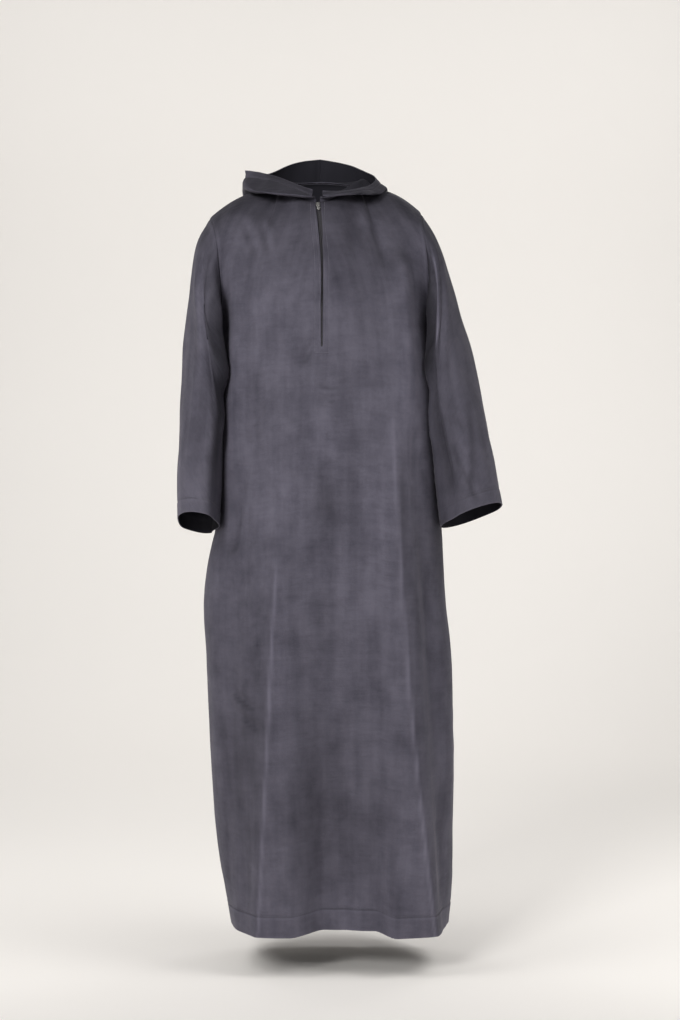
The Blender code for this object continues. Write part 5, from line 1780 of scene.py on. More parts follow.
# ---------------- finishes
class Nodes:
    """A material's shader nodes, added and linked in the order that they are named."""

    def __init__(self, name: str) -> None:
        """Starts a material that holds one Principled shader.

        Args:
            name: The material's name.
        """
        self.material = bpy.data.materials.new(name)
        self.material.use_nodes = True
        self.tree = self.material.node_tree
        self.shader = self.tree.nodes["Principled BSDF"]
        self.coordinates: Any = None

    def put(self, node: bpy.types.Node, key: str | int, value: Any) -> None:
        """Sets an input, or links it where the value is a socket.

        Args:
            node: The node.
            key: The input's name or number.
            value: A value or a socket.
        """
        if isinstance(value, bpy.types.NodeSocket):
            self.tree.links.new(value, node.inputs[key])
        else:
            node.inputs[key].default_value = value

    def add(self, kind: str, **inputs: Any) -> bpy.types.Node:
        """Adds a node and sets or links its inputs by name.

        Args:
            kind: The node's type, without its ShaderNode prefix.
            inputs: Values, or sockets to link, by the input's name with _ for spaces.

        Returns:
            The node.
        """
        node = self.tree.nodes.new("ShaderNode" + kind)
        for key, value in inputs.items():
            self.put(node, key.replace("_", " "), value)
        return node

    def place(self, kind: str, stretch: Sequence[float] | None = None) -> Any:
        """Gives the surface's coordinates.

        Args:
            kind: Which coordinates: Object or UV.
            stretch: How many times finer the pattern is along each of them.

        Returns:
            The coordinates' socket.
        """
        if self.coordinates is None:
            self.coordinates = self.add("TexCoord").outputs
        if stretch is None:
            return self.coordinates[kind]
        return self.add("Mapping", Vector=self.coordinates[kind], Scale=stretch).outputs["Vector"]

    def noise(self, place: Any, scale: float, detail: float, rough: float = 0.5) -> Any:
        """Gives the value of a noise.

        Args:
            place: The coordinates' socket.
            scale: How fine the noise is.
            detail: How many finer layers it has.
            rough: How strong the finer layers are.

        Returns:
            The value's socket.
        """
        node = self.add("TexNoise", Vector=place, Scale=scale, Detail=detail, Roughness=rough)
        return node.outputs["Fac"]

    def ramp(self, factor: bpy.types.NodeSocket, low: float, high: float) -> Any:
        """Gives a grey that is black up to the low place of a factor and white from the high.

        Args:
            factor: The factor's socket.
            low: The place where it is black.
            high: The place where it is white.

        Returns:
            The socket.
        """
        node = self.add("ValToRGB", Fac=factor)
        for element, place in zip(node.color_ramp.elements, (low, high)):
            element.position = place
        return node.outputs["Color"]

    def attribute(self, name: str) -> Any:
        """Gives the socket of a float that the mesh carries at its vertices.

        Args:
            name: The attribute's name.

        Returns:
            The socket.
        """
        node = self.add("Attribute")
        node.attribute_name = name
        return node.outputs["Fac"]

    def blend(self, factor: Any, first: Any, second: Any, mode: str = "MIX") -> Any:
        """Mixes two colours.

        Args:
            factor: How much of the second is used.
            first: A colour or socket.
            second: A colour or socket.
            mode: How they are mixed.

        Returns:
            The mixed colour's socket.
        """
        node = self.tree.nodes.new("ShaderNodeMix")
        node.data_type = "RGBA"
        node.blend_type = mode
        for index, value in ((0, factor), (6, first), (7, second)):
            self.put(node, index, value)
        return node.outputs[2]

    def tint(self, factor: Any, colour: Sequence[float], gain: float) -> Any:
        """Gives a colour that goes over to itself times the gain where the factor is high."""
        other = (gain * level for level in colour)
        return self.blend(factor, (*colour, 1.0), (*other, 1.0))

    def scaled(self, value: Any, gain: float, start: float) -> Any:
        """Gives the socket of a value times the gain, plus the start.

        Args:
            value: The value's socket.
            gain: What it is multiplied by.
            start: What is added.

        Returns:
            The socket.
        """
        node = self.tree.nodes.new("ShaderNodeMath")
        node.operation = "MULTIPLY_ADD"
        for index, part in enumerate((value, gain, start)):
            self.put(node, index, part)
        return node.outputs[0]

    def bump(self, height: Any, strength: float, distance: float, under: Any = None) -> Any:
        """Gives the normal of a bumpy surface.

        Args:
            height: The height's socket.
            strength: How strong the bumps are.
            distance: How high they are.
            under: The normal's socket of other bumps that they lie on.

        Returns:
            The normal's socket.
        """
        node = self.add("Bump", Strength=strength, Distance=distance, Height=height)
        if under is not None:
            self.put(node, "Normal", under)
        return node.outputs["Normal"]

    def shade(self, **inputs: Any) -> Material:
        """Sets or links the shader's inputs by name, and gives the material.

        Args:
            inputs: Values or sockets, by the input's name with _ for spaces.

        Returns:
            The material.
        """
        for key, value in inputs.items():
            self.put(self.shader, key.replace("_", " "), value)
        return self.material


@dataclass(frozen=True)
class Mottle:
    """A layer of uneven tone: its noise, how steep it is, its share and how it dents the cloth.

    The dent is a bump's strength and height, and 0 where the layer makes none.
    """

    kind: str
    stretch: Place | None
    scale: float
    detail: float
    rough: float
    low: float
    high: float
    share: float
    dent: tuple[float, float] = (0.0, 0.0)


@dataclass(frozen=True)
class VelourFinish:
    """Brushed velour: a slate grey whose short pile lies unevenly and catches the light.

    The sleeves' and hood's copies are darkened by a factor as painted shade, and the mesh's
    attributes add lighter lines of wear and painted highlight and multiply in painted light and
    shade.
    """

    name: str = "velour"
    # A factor on the whole colour: below 1 for the copies darkened as painted shade.
    nap: float = 1.0
    deep: Colour = (0.042, 0.040, 0.057)
    pale: Colour = (0.160, 0.151, 0.197)
    clouds: Mottle = Mottle("Object", None, 5.5, 3.0, 0.5, 0.28, 0.72, 1.0)
    patches: Mottle = Mottle("Object", None, 19.0, 5.0, 0.62, 0.36, 0.64, 0.48, (0.45, 0.0030))
    streaks: Mottle = Mottle("UV", (42.0, 5.0, 1.0), 1.0, 4.0, 0.5, 0.34, 0.66, 0.28)
    crinkles: Mottle = Mottle(
        "UV", (26.0, 120.0, 1.0), 1.0, 3.0, 0.5, 0.36, 0.64, 0.07, (0.42, 0.0024)
    )
    pile: Mottle = Mottle("Object", None, 900.0, 2.0, 0.5, 0.30, 0.72, 0.16, (0.35, 0.0005))
    roughness: float = 0.90
    nap_shine: float = 0.12
    sheen: float = 0.10
    sheen_roughness: float = 0.40
    sheen_tint: Colour = (0.90, 0.88, 1.0)
    specular: float = 0.22
    # How much lighter than the pale tone the lines of wear and painted highlight are.
    rub_gain: float = 1.35

    def make(self) -> Material:
        """Builds the material: clouds and patches of tone, streaks, crinkles, pile and sheen, with
        the lines of wear and painted highlight and the painted light and shade from the mesh.

        Returns:
            The material.
        """
        nodes = Nodes(self.name)
        noises, mixed = {}, None
        for layer in (self.clouds, self.patches, self.streaks, self.crinkles, self.pile):
            place = nodes.place(layer.kind, layer.stretch)
            noises[layer] = nodes.noise(place, layer.scale, layer.detail, layer.rough)
            tone = nodes.ramp(noises[layer], layer.low, layer.high)
            mixed = tone if mixed is None else nodes.blend(layer.share, mixed, tone)
        normal = None
        for layer in (self.crinkles, self.patches, self.pile):
            normal = nodes.bump(noises[layer], *layer.dent, normal)
        deep, pale = ([self.nap * level for level in tone] for tone in (self.deep, self.pale))
        # The lighter colour of wear and painted highlight along crests, seams and edges.
        light = [self.rub_gain * level for level in self.pale]
        colour = nodes.blend(mixed, (*deep, 1.0), (*pale, 1.0))
        colour = nodes.blend(nodes.attribute("rubbed"), colour, (*light, 1.0))
        # The painted light and shade attribute multiplies the colour.
        return nodes.shade(
            Base_Color=nodes.blend(1.0, colour, nodes.attribute("nap"), "MULTIPLY"),
            Roughness=nodes.scaled(mixed, -self.nap_shine, self.roughness),
            Normal=normal,
            Sheen_Weight=self.sheen,
            Sheen_Roughness=self.sheen_roughness,
            Sheen_Tint=(*self.sheen_tint, 1.0),
            Specular_IOR_Level=self.specular,
        )


@dataclass(frozen=True)
class ReverseShadeFinish:
    """The velour's wrong side: a flat knitted ground with no pile, partly its own darker back and
    partly painted shade, for the insides of the hood and neck.
    """

    name: str = "velour_reverse"
    colour: Colour = (0.018, 0.0175, 0.023)
    gain: float = 1.8
    ribs: Place = (900.0, 260.0, 1.0)
    rib_detail: float = 1.0
    rib_bump: tuple[float, float] = (0.35, 0.0003)
    dye: tuple[float, float] = (24.0, 3.0)
    roughness: float = 0.92
    specular: float = 0.15

    def make(self) -> Material:
        """Builds the material: fine ribs along the cloth, with uneven dye.

        Returns:
            The material.
        """
        nodes = Nodes(self.name)
        ribs = nodes.noise(nodes.place("UV", self.ribs), 1.0, self.rib_detail)
        mixed = nodes.blend(0.5, ribs, nodes.noise(nodes.place("Object"), *self.dye))
        return nodes.shade(
            Base_Color=nodes.tint(mixed, self.colour, self.gain),
            Roughness=self.roughness,
            Specular_IOR_Level=self.specular,
            Normal=nodes.bump(ribs, *self.rib_bump),
        )


@dataclass(frozen=True)
class PlainFinish:
    """A plain material whose colour changes a little, in a noise that may also be felt."""

    name: str
    colour: Colour
    gain: float
    noise: tuple[float, float]
    roughness: float
    bump: tuple[float, float] | None = None
    specular: float = 0.5

    def make(self) -> Material:
        """Builds the material: a cloudy tone over a plain colour, and a grain where it has one.

        Returns:
            The material.
        """
        nodes = Nodes(self.name)
        cloud = nodes.noise(nodes.place("Object"), *self.noise)
        if self.bump is not None:
            nodes.shade(Normal=nodes.bump(cloud, *self.bump))
        return nodes.shade(
            Base_Color=nodes.tint(cloud, self.colour, self.gain),
            Roughness=self.roughness,
            Specular_IOR_Level=self.specular,
        )


# Polyester sewing thread with a twisted grain, the zip's paler thread, the zip's half shiny
# nylon and the matt warm-white paint of the floor and backdrop.
THREAD = PlainFinish("thread", (0.060, 0.056, 0.068), 1.7, (1600.0, 1.0), 0.55, (0.4, 0.0002))
ZIP_THREAD = replace(THREAD, name="zip_thread", colour=(0.150, 0.140, 0.170))
NYLON = PlainFinish("zip_nylon", (0.034, 0.032, 0.038), 1.6, (700.0, 2.0), 0.38)
PAINT = PlainFinish("studio_paint", (0.91, 0.885, 0.86), 0.985, (1.2, 1.0), 0.92, specular=0.1)


@dataclass(frozen=True)
class TapeFinish:
    """Woven zip tape: narrow ribs across and along a nearly black ribbon."""

    name: str = "zip_tape_weave"
    colour: Colour = (0.020, 0.019, 0.023)
    gain: float = 2.4
    along: tuple[float, float] = (480.0, 0.6)
    across: tuple[float, float] = (620.0, 0.4)
    roughness: float = 0.70
    bump: tuple[float, float] = (0.5, 0.0003)

    def make(self) -> Material:
        """Builds the material: two crossed wave patterns as a weave.

        Returns:
            The material.
        """
        nodes = Nodes(self.name)
        waves = []
        for (scale, distortion), way in ((self.along, "X"), (self.across, "Z")):
            place = nodes.place("Object")
            wave = nodes.add("TexWave", Vector=place, Scale=scale, Distortion=distortion)
            wave.bands_direction = way
            waves.append(wave.outputs["Color"])
        weave = nodes.blend(0.5, *waves)
        return nodes.shade(
            Base_Color=nodes.tint(weave, self.colour, self.gain),
            Roughness=self.roughness,
            Normal=nodes.bump(weave, *self.bump),
        )


@dataclass(frozen=True)
class MetalFinish:
    """Nickel-plated zinc: bright, with fine rub marks and a cloudy tone that is duller here and
    there.
    """

    name: str = "zip_nickel"
    colour: Colour = (0.72, 0.71, 0.70)
    worn: float = 0.72
    cloud: tuple[float, float] = (320.0, 3.0)
    rub_stretch: Place = (2600.0, 2600.0, 260.0)
    rub_detail: float = 2.0
    rub_bump: tuple[float, float] = (0.15, 0.0002)
    roughness: float = 0.14
    rub_roughness: float = 0.22

    def make(self) -> Material:
        """Builds the material: rub marks in roughness, cloudy tone in colour.

        Returns:
            The material.
        """
        nodes = Nodes(self.name)
        cloud = nodes.noise(nodes.place("Object"), *self.cloud)
        marks = nodes.noise(nodes.place("Object", self.rub_stretch), 1.0, self.rub_detail)
        return nodes.shade(
            Base_Color=nodes.tint(cloud, self.colour, self.worn),
            Roughness=nodes.scaled(marks, self.rub_roughness, self.roughness),
            Metallic=1.0,
            Normal=nodes.bump(marks, *self.rub_bump),
        )


# ---------------- the worn robe
@dataclass
class RobeCloth:
    """The cloth of the robe: two panels, two sleeves and the two halves of the hood."""

    panel_velour: Material
    sleeve_velour: Material
    hood_velour: Material
    reverse: Material
    front_cut: tuple[float, float] = (0.84, 1.43)
    front_area: float = 0.86
    back_cut: tuple[float, float] = (0.78, 1.45)
    back_area: float = 0.79
    sleeve_cut: tuple[float, float] = (0.46, 0.62)
    sleeve_area: float = 0.20
    hood_cut: tuple[float, float] = (0.36, 0.44)
    hood_area: float = 0.12
    sheets: dict[str, ClothSheet] = field(default_factory=dict)
    objects: dict[str, bpy.types.Object] = field(default_factory=dict)

    def lay_out(self) -> None:
        """Works out every sheet's surface, from the panels to the hood that lies on them."""
        front_panel, back_panel = (BodyPanel(face) for face in PanelFace)
        for name, panel in (("front_panel", front_panel), ("back_panel", back_panel)):
            sheet = ClothSheet(name + "_cloth", panel.grid(), 1.0 if panel.is_front else -1.0)
            # Lighter lines of wear and painted highlight, and painted light and shade, for each
            # panel.
            sheet.rubbed, sheet.nap = panel.rubbed(sheet.points), panel.nap(sheet.points)
            self.sheets[name] = sheet
        front, back = self.sheets.values()
        slit = int(np.argmin(np.abs(front_panel.columns - 2.0)))
        low = int(np.argmin(np.abs(front_panel.lower - SLIT_LOW_Z)))
        front.open_slit(low, range(slit, slit + SLIT_CELLS))
        self.slit_column, self.slit_row = slit, low
        armpit = len(front_panel.lower) - 1
        body = self.outer_faces()
        for side in WearerSide:
            column = 0 if side is WearerSide.RIGHT else -1
            edges = (front.points[armpit:, column], back.points[armpit:, column])
            name = "sleeve_" + side.name.lower()
            shape = SleeveSheet(side, *edges, body)
            sleeve = ClothSheet(name + "_cloth", shape.grid(), float(-side.value), wraps=True)
            ends = (run_along(sleeve.points, 0, from_end) for from_end in (False, True))
            # The seam's and cuff's lighter lines, part wear and part painted highlight, and the
            # sleeve's painted light and shade.
            sleeve.rubbed = Sewing.rubbed(*ends, CUFF_TURN)
            sleeve.nap = shape.nap()
            self.sheets[name] = sleeve
        below = self.outer_faces()
        nape = int(np.argmin(np.abs(back_panel.columns - MIDDLE_COLUMN)))
        start = int(np.argmin(np.abs(front_panel.columns - 1.0)))
        for side in WearerSide:
            neck = self.neck_line(front.points[-1], back.points[-1], side, start, nape)
            name = "hood_" + side.name.lower()
            hood = ClothSheet(name + "_cloth", HoodSheet(side, neck, below).grid(), -1.0)
            seam = run_along(hood.points, 1, side is WearerSide.RIGHT)
            hood.rubbed = Sewing.rubbed(seam, run_along(hood.points, 0, True), RIM_TURN)
            self.sheets[name] = hood

    def near_slit(self) -> slice:
        """Gives the front panel's columns on both sides of the slit."""
        return slice(*(self.slit_column + step for step in NEAR_SLIT))

    def neck_line(
        self, front: Array, back: Array, side: WearerSide, start: int, nape: int
    ) -> Array:
        """Gives the neckline of one hood half, in the order of its columns.

        Args:
            front: The front panel's top edge.
            back: The back panel's top edge.
            side: Which half it is.
            start: The column where the neckline starts, on either panel.
            nape: The back panel's middle column.

        Returns:
            The points from one end of the half to the other.
        """
        if side is WearerSide.RIGHT:
            ahead = front[start : self.slit_column + 1][::-1]
            return np.concatenate([ahead, back[start + 1 : nape + 1]])
        ahead = front[self.slit_column + SLIT_CELLS : len(front) - start][::-1]
        return np.concatenate([back[nape : len(back) - start - 1], ahead])

    def outer_faces(self) -> BVHTree:
        """Gives the outsides of the sheets laid out so far, for the next ones to rest on.

        Returns:
            A tree of their faces.
        """
        places, faces = [], []
        for sheet in self.sheets.values():
            rows, columns = sheet.points.shape[:2]
            first = sum(len(part) for part in places)
            places.append(sheet.points.reshape(-1, 3))
            for row, column in np.ndindex(rows - 1, columns if sheet.wraps else columns - 1):
                after = (column + 1) % columns
                near, far = first + row * columns, first + (row + 1) * columns
                corners = (near + column, near + after, far + after, far + column)
                faces.append(corners if sheet.sign > 0 else corners[::-1])
        return BVHTree.FromPolygons(np.concatenate(places).tolist(), faces)

    def build(self) -> None:
        """Makes the cloth objects, fixes each to the robe and hides the node that it stands for."""
        self.lay_out()
        finishes = {"sleeve": self.sleeve_velour, "hood": self.hood_velour}
        for node, sheet in self.sheets.items():
            obj = sheet.build(finishes.get(node.split("_")[0], self.panel_velour), self.reverse)
            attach(obj, "robe")
            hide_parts(node)
            self.objects[node] = obj
            LOG.info("cloth %s: %d by %d points", obj.name, *sheet.points.shape[:2])


# ---------------- sewing threads
STITCH_ROUNDING = 1
TOOTH_ROUNDING = 2
BOX_POINTS = 12


@dataclass(frozen=True)
class StitchLine:
    """A row of lock stitches along a line on a sheet."""

    points: Array
    normals: Array
    pitch: float = 0.0034
    length: float = 0.0026
    radius: float = 0.00028
    lift: float = 0.00010

    def add_to(self, made: bmesh.types.BMesh) -> int:
        """Lays the stitches into a bmesh.

        Args:
            made: The bmesh to add to.

        Returns:
            How many stitches were laid.
        """
        run = line_run(self.points)
        middles = np.arange(0.5 * self.pitch, run[-1], self.pitch)
        halves = (0.5 * self.length, self.radius, self.radius)
        for middle in middles:
            ends = [read_line(middle + end * halves[0], run, self.points) for end in (-1.0, 1.0)]
            out = unit(read_line(middle, run, self.normals))
            centre = 0.5 * (ends[0] + ends[1]) + out * self.lift
            along = Vector(ends[1] - ends[0]).normalized()
            side = Vector(out).cross(along).normalized()
            axes = (along, side, along.cross(side))
            Workshop.add_bead(made, centre, axes, halves, STITCH_ROUNDING)
        return len(middles)


@dataclass
class Threads:
    """The stitch lines that show: hems, cuffs, the hood's rim and the zip."""

    robe: RobeCloth
    thread: Material
    zip_thread: Material

    def build(self) -> None:
        """Sews every line, one object for each part of the robe."""
        sheets = self.robe.sheets
        for face in ("front", "back"):
            hem = self.row_line(sheets[face + "_panel"], HEM_TURN, False)
            self.sew(f"{face}_hem_stitches", [hem])
        for side in ("right", "left"):
            cuff = self.row_line(sheets["sleeve_" + side], CUFF_TURN, True)
            self.sew(f"cuff_{side}_stitches", [cuff])
            rim = self.row_line(sheets["hood_" + side], RIM_TURN, True)
            self.sew(f"hood_rim_{side}_stitches", [rim])
        zip_lines = self.zip_lines(sheets["front_panel"])
        self.sew("zip_stitches", zip_lines, self.zip_thread)

    def sew(
        self, name: str, lines: Sequence[StitchLine], finish: Material | None = None
    ) -> None:
        """Makes one object of some stitch lines, in the usual thread unless one is given.

        Args:
            name: The object's name.
            lines: Its stitch lines.
            finish: Its thread, where it isn't the usual one.
        """
        made = bmesh.new()
        count = sum(line.add_to(made) for line in lines)
        obj = Workshop.object_from(name, made, finish or self.thread)
        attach(obj, "robe")
        LOG.info("%s: %d stitches", name, count)

    @staticmethod
    def row_line(sheet: ClothSheet, distance: float, from_end: bool) -> StitchLine:
        """Gives the line on a sheet at a distance from its first or last row.

        Args:
            sheet: The cloth.
            distance: How far from the edge the line runs.
            from_end: Whether it is measured from the last row.

        Returns:
            The stitch line.
        """
        run = run_along(sheet.points, 0, from_end)
        order = slice(None, None, -1) if from_end else slice(None)
        columns = [*range(sheet.points.shape[1]), *([0] if sheet.wraps else [])]
        places, outs = (
            np.array([read_line(distance, run[order, c], values[order, c]) for c in columns])
            for values in (sheet.points, sheet.normals)
        )
        return StitchLine(places, outs)

    def zip_lines(self, front: ClothSheet) -> list[StitchLine]:
        """Gives the stitch lines beside the slit and the box of stitches round the zip.

        Args:
            front: The front panel.

        Returns:
            The stitch lines.
        """
        low = SLIT_LOW_Z - BOX_DROP
        lines = []
        for side in (-1, 1):
            lines.append(self.offset_line(front, side * LIP_STITCH, SLIT_LOW_Z))
            lines.append(self.offset_line(front, side * BOX_STITCH, low))
        row = int(np.argmin(np.abs(front.points[:, self.robe.slit_column, 2] - low)))
        near = self.robe.near_slit()
        off = front.points[row, near, 0] - slit_centre_x(low)
        wanted = np.linspace(-BOX_STITCH, BOX_STITCH, BOX_POINTS)
        both = (front.points[row, near], front.normals[row, near])
        lines.append(StitchLine(*(read_line(wanted, off, values) for values in both)))
        return lines

    def offset_line(self, front: ClothSheet, off: float, low_z: float) -> StitchLine:
        """Gives a line down the front panel at a distance beside the slit's middle.

        Args:
            front: The front panel.
            off: The distance, below 0 at the wearer's right.
            low_z: The line's lowest height.

        Returns:
            The stitch line.
        """
        places, outs = [], []
        near = self.robe.near_slit()
        for line, normals in zip(front.points[:-3, near], front.normals[:-3, near]):
            height = line[len(line) // 2, 2]
            if height >= low_z:
                wanted = slit_centre_x(height) + off
                places.append(read_line(wanted, line[:, 0], line))
                outs.append(read_line(wanted, line[:, 0], normals))
        return StitchLine(np.array(places), np.array(outs))


# ---------------- zip
@dataclass
class Zip:
    """The zip behind the slit: two woven tapes, the nylon teeth and the metal slider."""

    robe: RobeCloth
    weave: Material
    nylon: Material
    metal: Material
    tape_reach: float = 0.0125
    tape_thick: float = 0.0006
    tooth_pitch: float = 0.0016
    tooth_width: float = 0.0042
    tooth_height: float = 0.0011
    tooth_depth: float = 0.0007
    tooth_swell: float = 0.6
    tooth_sink: float = 0.0002
    end_room: float = 0.004
    tape_gap: float = 0.0004
    rows_below: int = 2
    columns_beside: int = 4
    tape_columns: int = 9
    slider_edge: float = 0.00025
    pull_edge: float = 0.00030
    flat_angle: float = 1.0
    sharp_angle: float = 24.0

    def build(self) -> None:
        """Makes the tapes, the teeth and the dressed slider and pull."""
        self.build_tape()
        self.build_teeth()
        self.dress_metal("zip_slider", "zip_slider_nickel", "robe", self.slider_edge)
        self.dress_metal("zip_pull", "zip_pull_nickel", "zip_pull", self.pull_edge)

    def middle_line(self) -> tuple[Array, Array, Array]:
        """Gives the slit's middle line, the way out of the cloth and the way across it.

        Returns:
            The points, the ways out and the ways across.
        """
        front = self.robe.sheets["front_panel"]
        left, right = self.robe.slit_column, self.robe.slit_column + SLIT_CELLS
        rows, beside = self.rows(), self.columns_beside
        edge_left, edge_right = front.points[rows, left], front.points[rows, right]
        middle = 0.5 * (edge_left + edge_right)
        out = unit(front.normals[rows, left - beside] + front.normals[rows, right + beside])
        return middle, out, unit(edge_right - edge_left)

    def rows(self) -> slice:
        """Gives the front panel's rows that the zip lies behind."""
        return slice(self.robe.slit_row - self.rows_below, -1)

    def build_tape(self) -> None:
        """Lays the tape just behind the front panel, on both sides of the slit."""
        middle, out, across = self.middle_line()
        reaches = np.linspace(-1.0, 1.0, self.tape_columns) * self.tape_reach
        points = middle[:, None] + across[:, None] * reaches[:, None]
        front = self.robe.sheets["front_panel"].points[self.rows(), self.robe.near_slit()]
        for ring, line in zip(points, front):
            ring[:, 1:] = read_line(ring[:, 0], line[:, 0], line)[:, 1:]
        points = points - out[:, None, :] * (CLOTH + self.tape_gap)
        tape = ClothSheet("zip_tape_woven", points, 1.0)
        obj = tape.build(self.weave, self.weave)
        obj.modifiers["cloth_wall"].thickness = self.tape_thick
        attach(obj, "robe")
        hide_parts("zip_tape")
        LOG.info("zip tape: %d rings", points.shape[0])

    def build_teeth(self) -> None:
        """Sets the nylon teeth side by side down the middle of the tape."""
        middle, out, across = self.middle_line()
        run = line_run(middle)
        made = bmesh.new()
        swell = self.tooth_swell * self.tooth_depth
        halves = (0.5 * self.tooth_width, 0.5 * self.tooth_height, swell)
        sunk = CLOTH + self.tooth_sink - 0.5 * self.tooth_depth
        places = np.arange(self.end_room, run[-1] - self.end_room, self.tooth_pitch)
        for length in places:
            centre, *ways = (read_line(length, run, values) for values in (middle, out, across))
            way_out, way_across = unit(ways[0]), unit(ways[1])
            axes = (way_across, np.cross(way_across, way_out), way_out)
            Workshop.add_bead(made, centre - way_out * sunk, axes, halves, TOOTH_ROUNDING)
        obj = Workshop.object_from("zip_teeth", made, self.nylon)
        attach(obj, "robe")
        LOG.info("zip teeth: %d", len(places))

    def dress_metal(self, node: str, name: str, body: str, edge: float) -> None:
        """Copies a metal node with rounded edges and a nickel finish.

        Args:
            node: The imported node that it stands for.
            name: The new piece's name.
            body: The body that it rides on.
            edge: The radius of its edges.
        """
        made = bmesh.new()
        made.from_mesh(self.node_mesh(node))
        bmesh.ops.remove_doubles(made, verts=made.verts, dist=SAME_PLACE)
        flat, least = math.radians(self.flat_angle), math.radians(self.sharp_angle)
        bmesh.ops.dissolve_limit(made, angle_limit=flat, verts=made.verts, edges=made.edges)
        sharp = [e for e in made.edges if e.is_manifold and e.calc_face_angle() > least]
        shape = {"offset_type": "OFFSET", "segments": 2, "profile": 0.5, "clamp_overlap": True}
        bmesh.ops.bevel(made, geom=sharp, offset=edge, affect="EDGES", material=-1, **shape)
        obj = Workshop.object_from(name, made, self.metal)
        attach(obj, body)
        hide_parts(node)
        LOG.info("%s dressed from %s", name, node)

    @staticmethod
    def node_mesh(node: str) -> bpy.types.Mesh:
        """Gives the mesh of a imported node, whose object may have a number after its name."""
        return next(obj.data for obj in bpy.data.objects if obj.name.split(".")[0] == node)


# ---------------- studio
@dataclass(frozen=True)
class Lamp:
    """A soft rectangular lamp and where it points."""

    name: str
    place: Place
    aim: Place
    size: tuple[float, float]
    power: float
    spread: float = 180.0
    colour: Colour = (1.0, 0.99, 0.97)

    def hang(self) -> None:
        """Puts the lamp into the scene."""
        light = bpy.data.lights.new(self.name, "AREA")
        light.shape = "RECTANGLE"
        light.size, light.size_y = self.size
        light.energy = self.power
        light.spread = math.radians(self.spread)
        light.color = self.colour
        obj = bpy.data.objects.new(self.name, light)
        obj.location = self.place
        way = Vector(self.aim) - Vector(self.place)
        obj.rotation_euler = way.to_track_quat("-Z", "Y").to_euler()
        bpy.context.scene.collection.objects.link(obj)


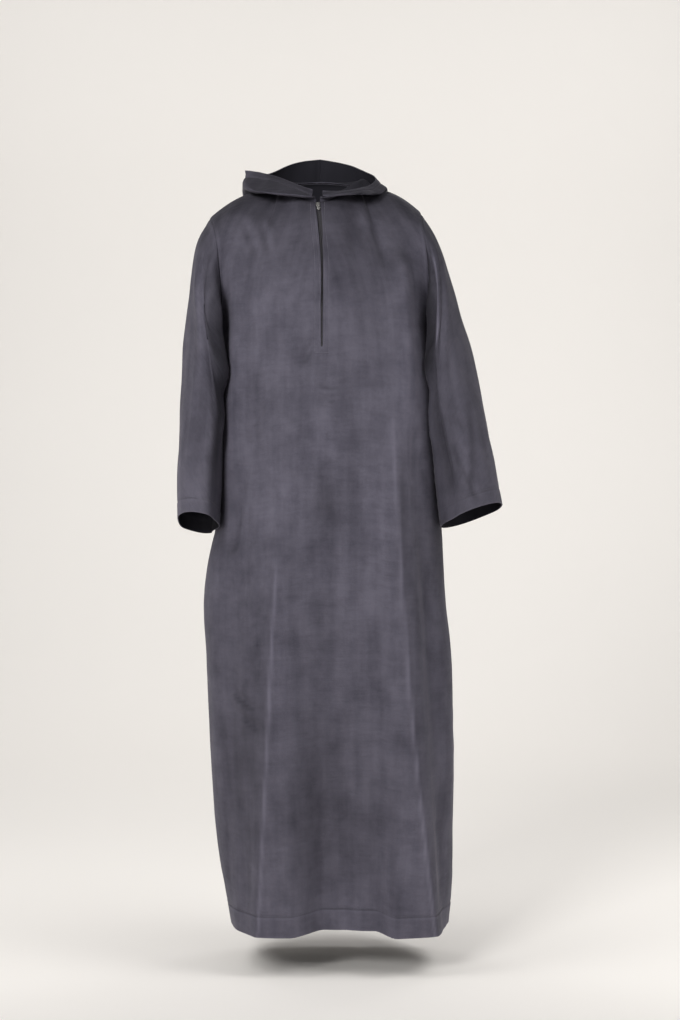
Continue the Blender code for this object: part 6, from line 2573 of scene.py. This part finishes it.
@dataclass
class Studio:
    """The camera, the lamps, the sky and the pale floor that curves up into a backdrop."""

    paint: Material
    camera_place: Place = (0.038, -3.6, -0.608)
    lens: float = 66.9
    sensor_width: float = 36.0
    farthest: float = 60.0
    floor_z: float = -1.465
    floor_front: float = -6.0
    floor_back: float = 5.4
    floor_half: float = 7.0
    bend: float = 2.4
    bend_steps: int = 12
    wall_height: float = 7.0
    sky: Colour = (1.0, 0.985, 0.965)
    sky_strength: float = 0.20
    lamps: tuple[Lamp, ...] = (
        Lamp("key_lamp", (-1.5, -3.4, 0.9), (0.0, 0.0, -0.35), (1.1, 1.1), 15.0, 70.0),
        Lamp("fill_lamp", (1.8, -3.6, 0.0), (0.0, 0.0, -0.8), (1.6, 2.2), 4.0),
        Lamp("wall_lamp_right", (-1.9, 2.4, 2.8), (-1.0, 4.8, -0.5), (1.8, 1.8), 51.0, 150.0),
        Lamp("wall_lamp_left", (1.9, 2.4, 2.8), (1.0, 4.8, -0.5), (1.8, 1.8), 51.0, 150.0),
        Lamp("floor_lamp_right", (-1.7, -0.7, 0.9), (-1.2, 0.2, -1.46), (1.4, 1.4), 10.0, 90.0),
        Lamp("floor_lamp_left", (1.7, -0.7, 0.9), (1.2, 0.2, -1.46), (1.4, 1.4), 12.0, 90.0),
    )

    def set_camera(self) -> None:
        """Makes the camera and gives it to the scene."""
        data = bpy.data.cameras.new("studio_camera")
        data.lens = self.lens
        data.sensor_width = self.sensor_width
        data.clip_end = self.farthest
        camera = bpy.data.objects.new("studio_camera", data)
        camera.location = self.camera_place
        camera.rotation_euler = (math.radians(90.0), 0.0, 0.0)
        bpy.context.scene.collection.objects.link(camera)
        bpy.context.scene.camera = camera

    def build(self) -> None:
        """Lights the studio and lays its floor and backdrop."""
        world = bpy.data.worlds.new("studio_sky")
        world.use_nodes = True
        background = world.node_tree.nodes["Background"]
        background.inputs["Color"].default_value = (*self.sky, 1.0)
        background.inputs["Strength"].default_value = self.sky_strength
        bpy.context.scene.world = world
        bpy.context.scene.view_settings.view_transform = "Standard"
        for lamp in self.lamps:
            lamp.hang()
        made = bmesh.new()
        line = [(self.floor_front, self.floor_z)]
        for step in range(self.bend_steps + 1):
            angle = math.radians(90.0 * step / self.bend_steps)
            across = self.floor_back - self.bend + self.bend * math.sin(angle)
            line.append((across, self.floor_z + self.bend * (1.0 - math.cos(angle))))
        line.append((self.floor_back, self.floor_z + self.wall_height))
        start = [made.verts.new((-self.floor_half, y, z)) for y, z in line]
        edges = [made.edges.new(pair) for pair in zip(start, start[1:])]
        grown = bmesh.ops.extrude_edge_only(made, edges=edges)["geom"]
        moved = [item for item in grown if isinstance(item, bmesh.types.BMVert)]
        bmesh.ops.translate(made, verts=moved, vec=(2.0 * self.floor_half, 0.0, 0.0))
        bmesh.ops.recalc_face_normals(made, faces=made.faces)
        Workshop.object_from("studio_floor", made, self.paint)
        LOG.info("studio: %d lamps", len(self.lamps))


def corners(box: tuple[Vector, Vector]) -> list[list[float]]:
    """Gives a box's two corners as plain lists."""
    return [list(corner) for corner in box]


def main() -> None:
    """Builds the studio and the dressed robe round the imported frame."""
    logging.basicConfig(level=logging.INFO, format="%(name)s: %(message)s")
    for obj in list(bpy.data.objects):
        bpy.data.objects.remove(obj, do_unlink=True)
    studio = Studio(PAINT.make())
    studio.set_camera()
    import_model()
    studio.build()
    robe = RobeCloth(
        VelourFinish().make(),
        # Darker copies of the velour for the sleeves and the hood: painted shade.
        VelourFinish(name="velour_sleeves", nap=0.86).make(),
        VelourFinish(name="velour_hood", nap=0.72).make(),
        ReverseShadeFinish().make(),
    )
    robe.build()
    Threads(robe, THREAD.make(), ZIP_THREAD.make()).build()
    Zip(robe, TapeFinish().make(), NYLON.make(), MetalFinish().make()).build()


if __name__ == "__main__":
    main()
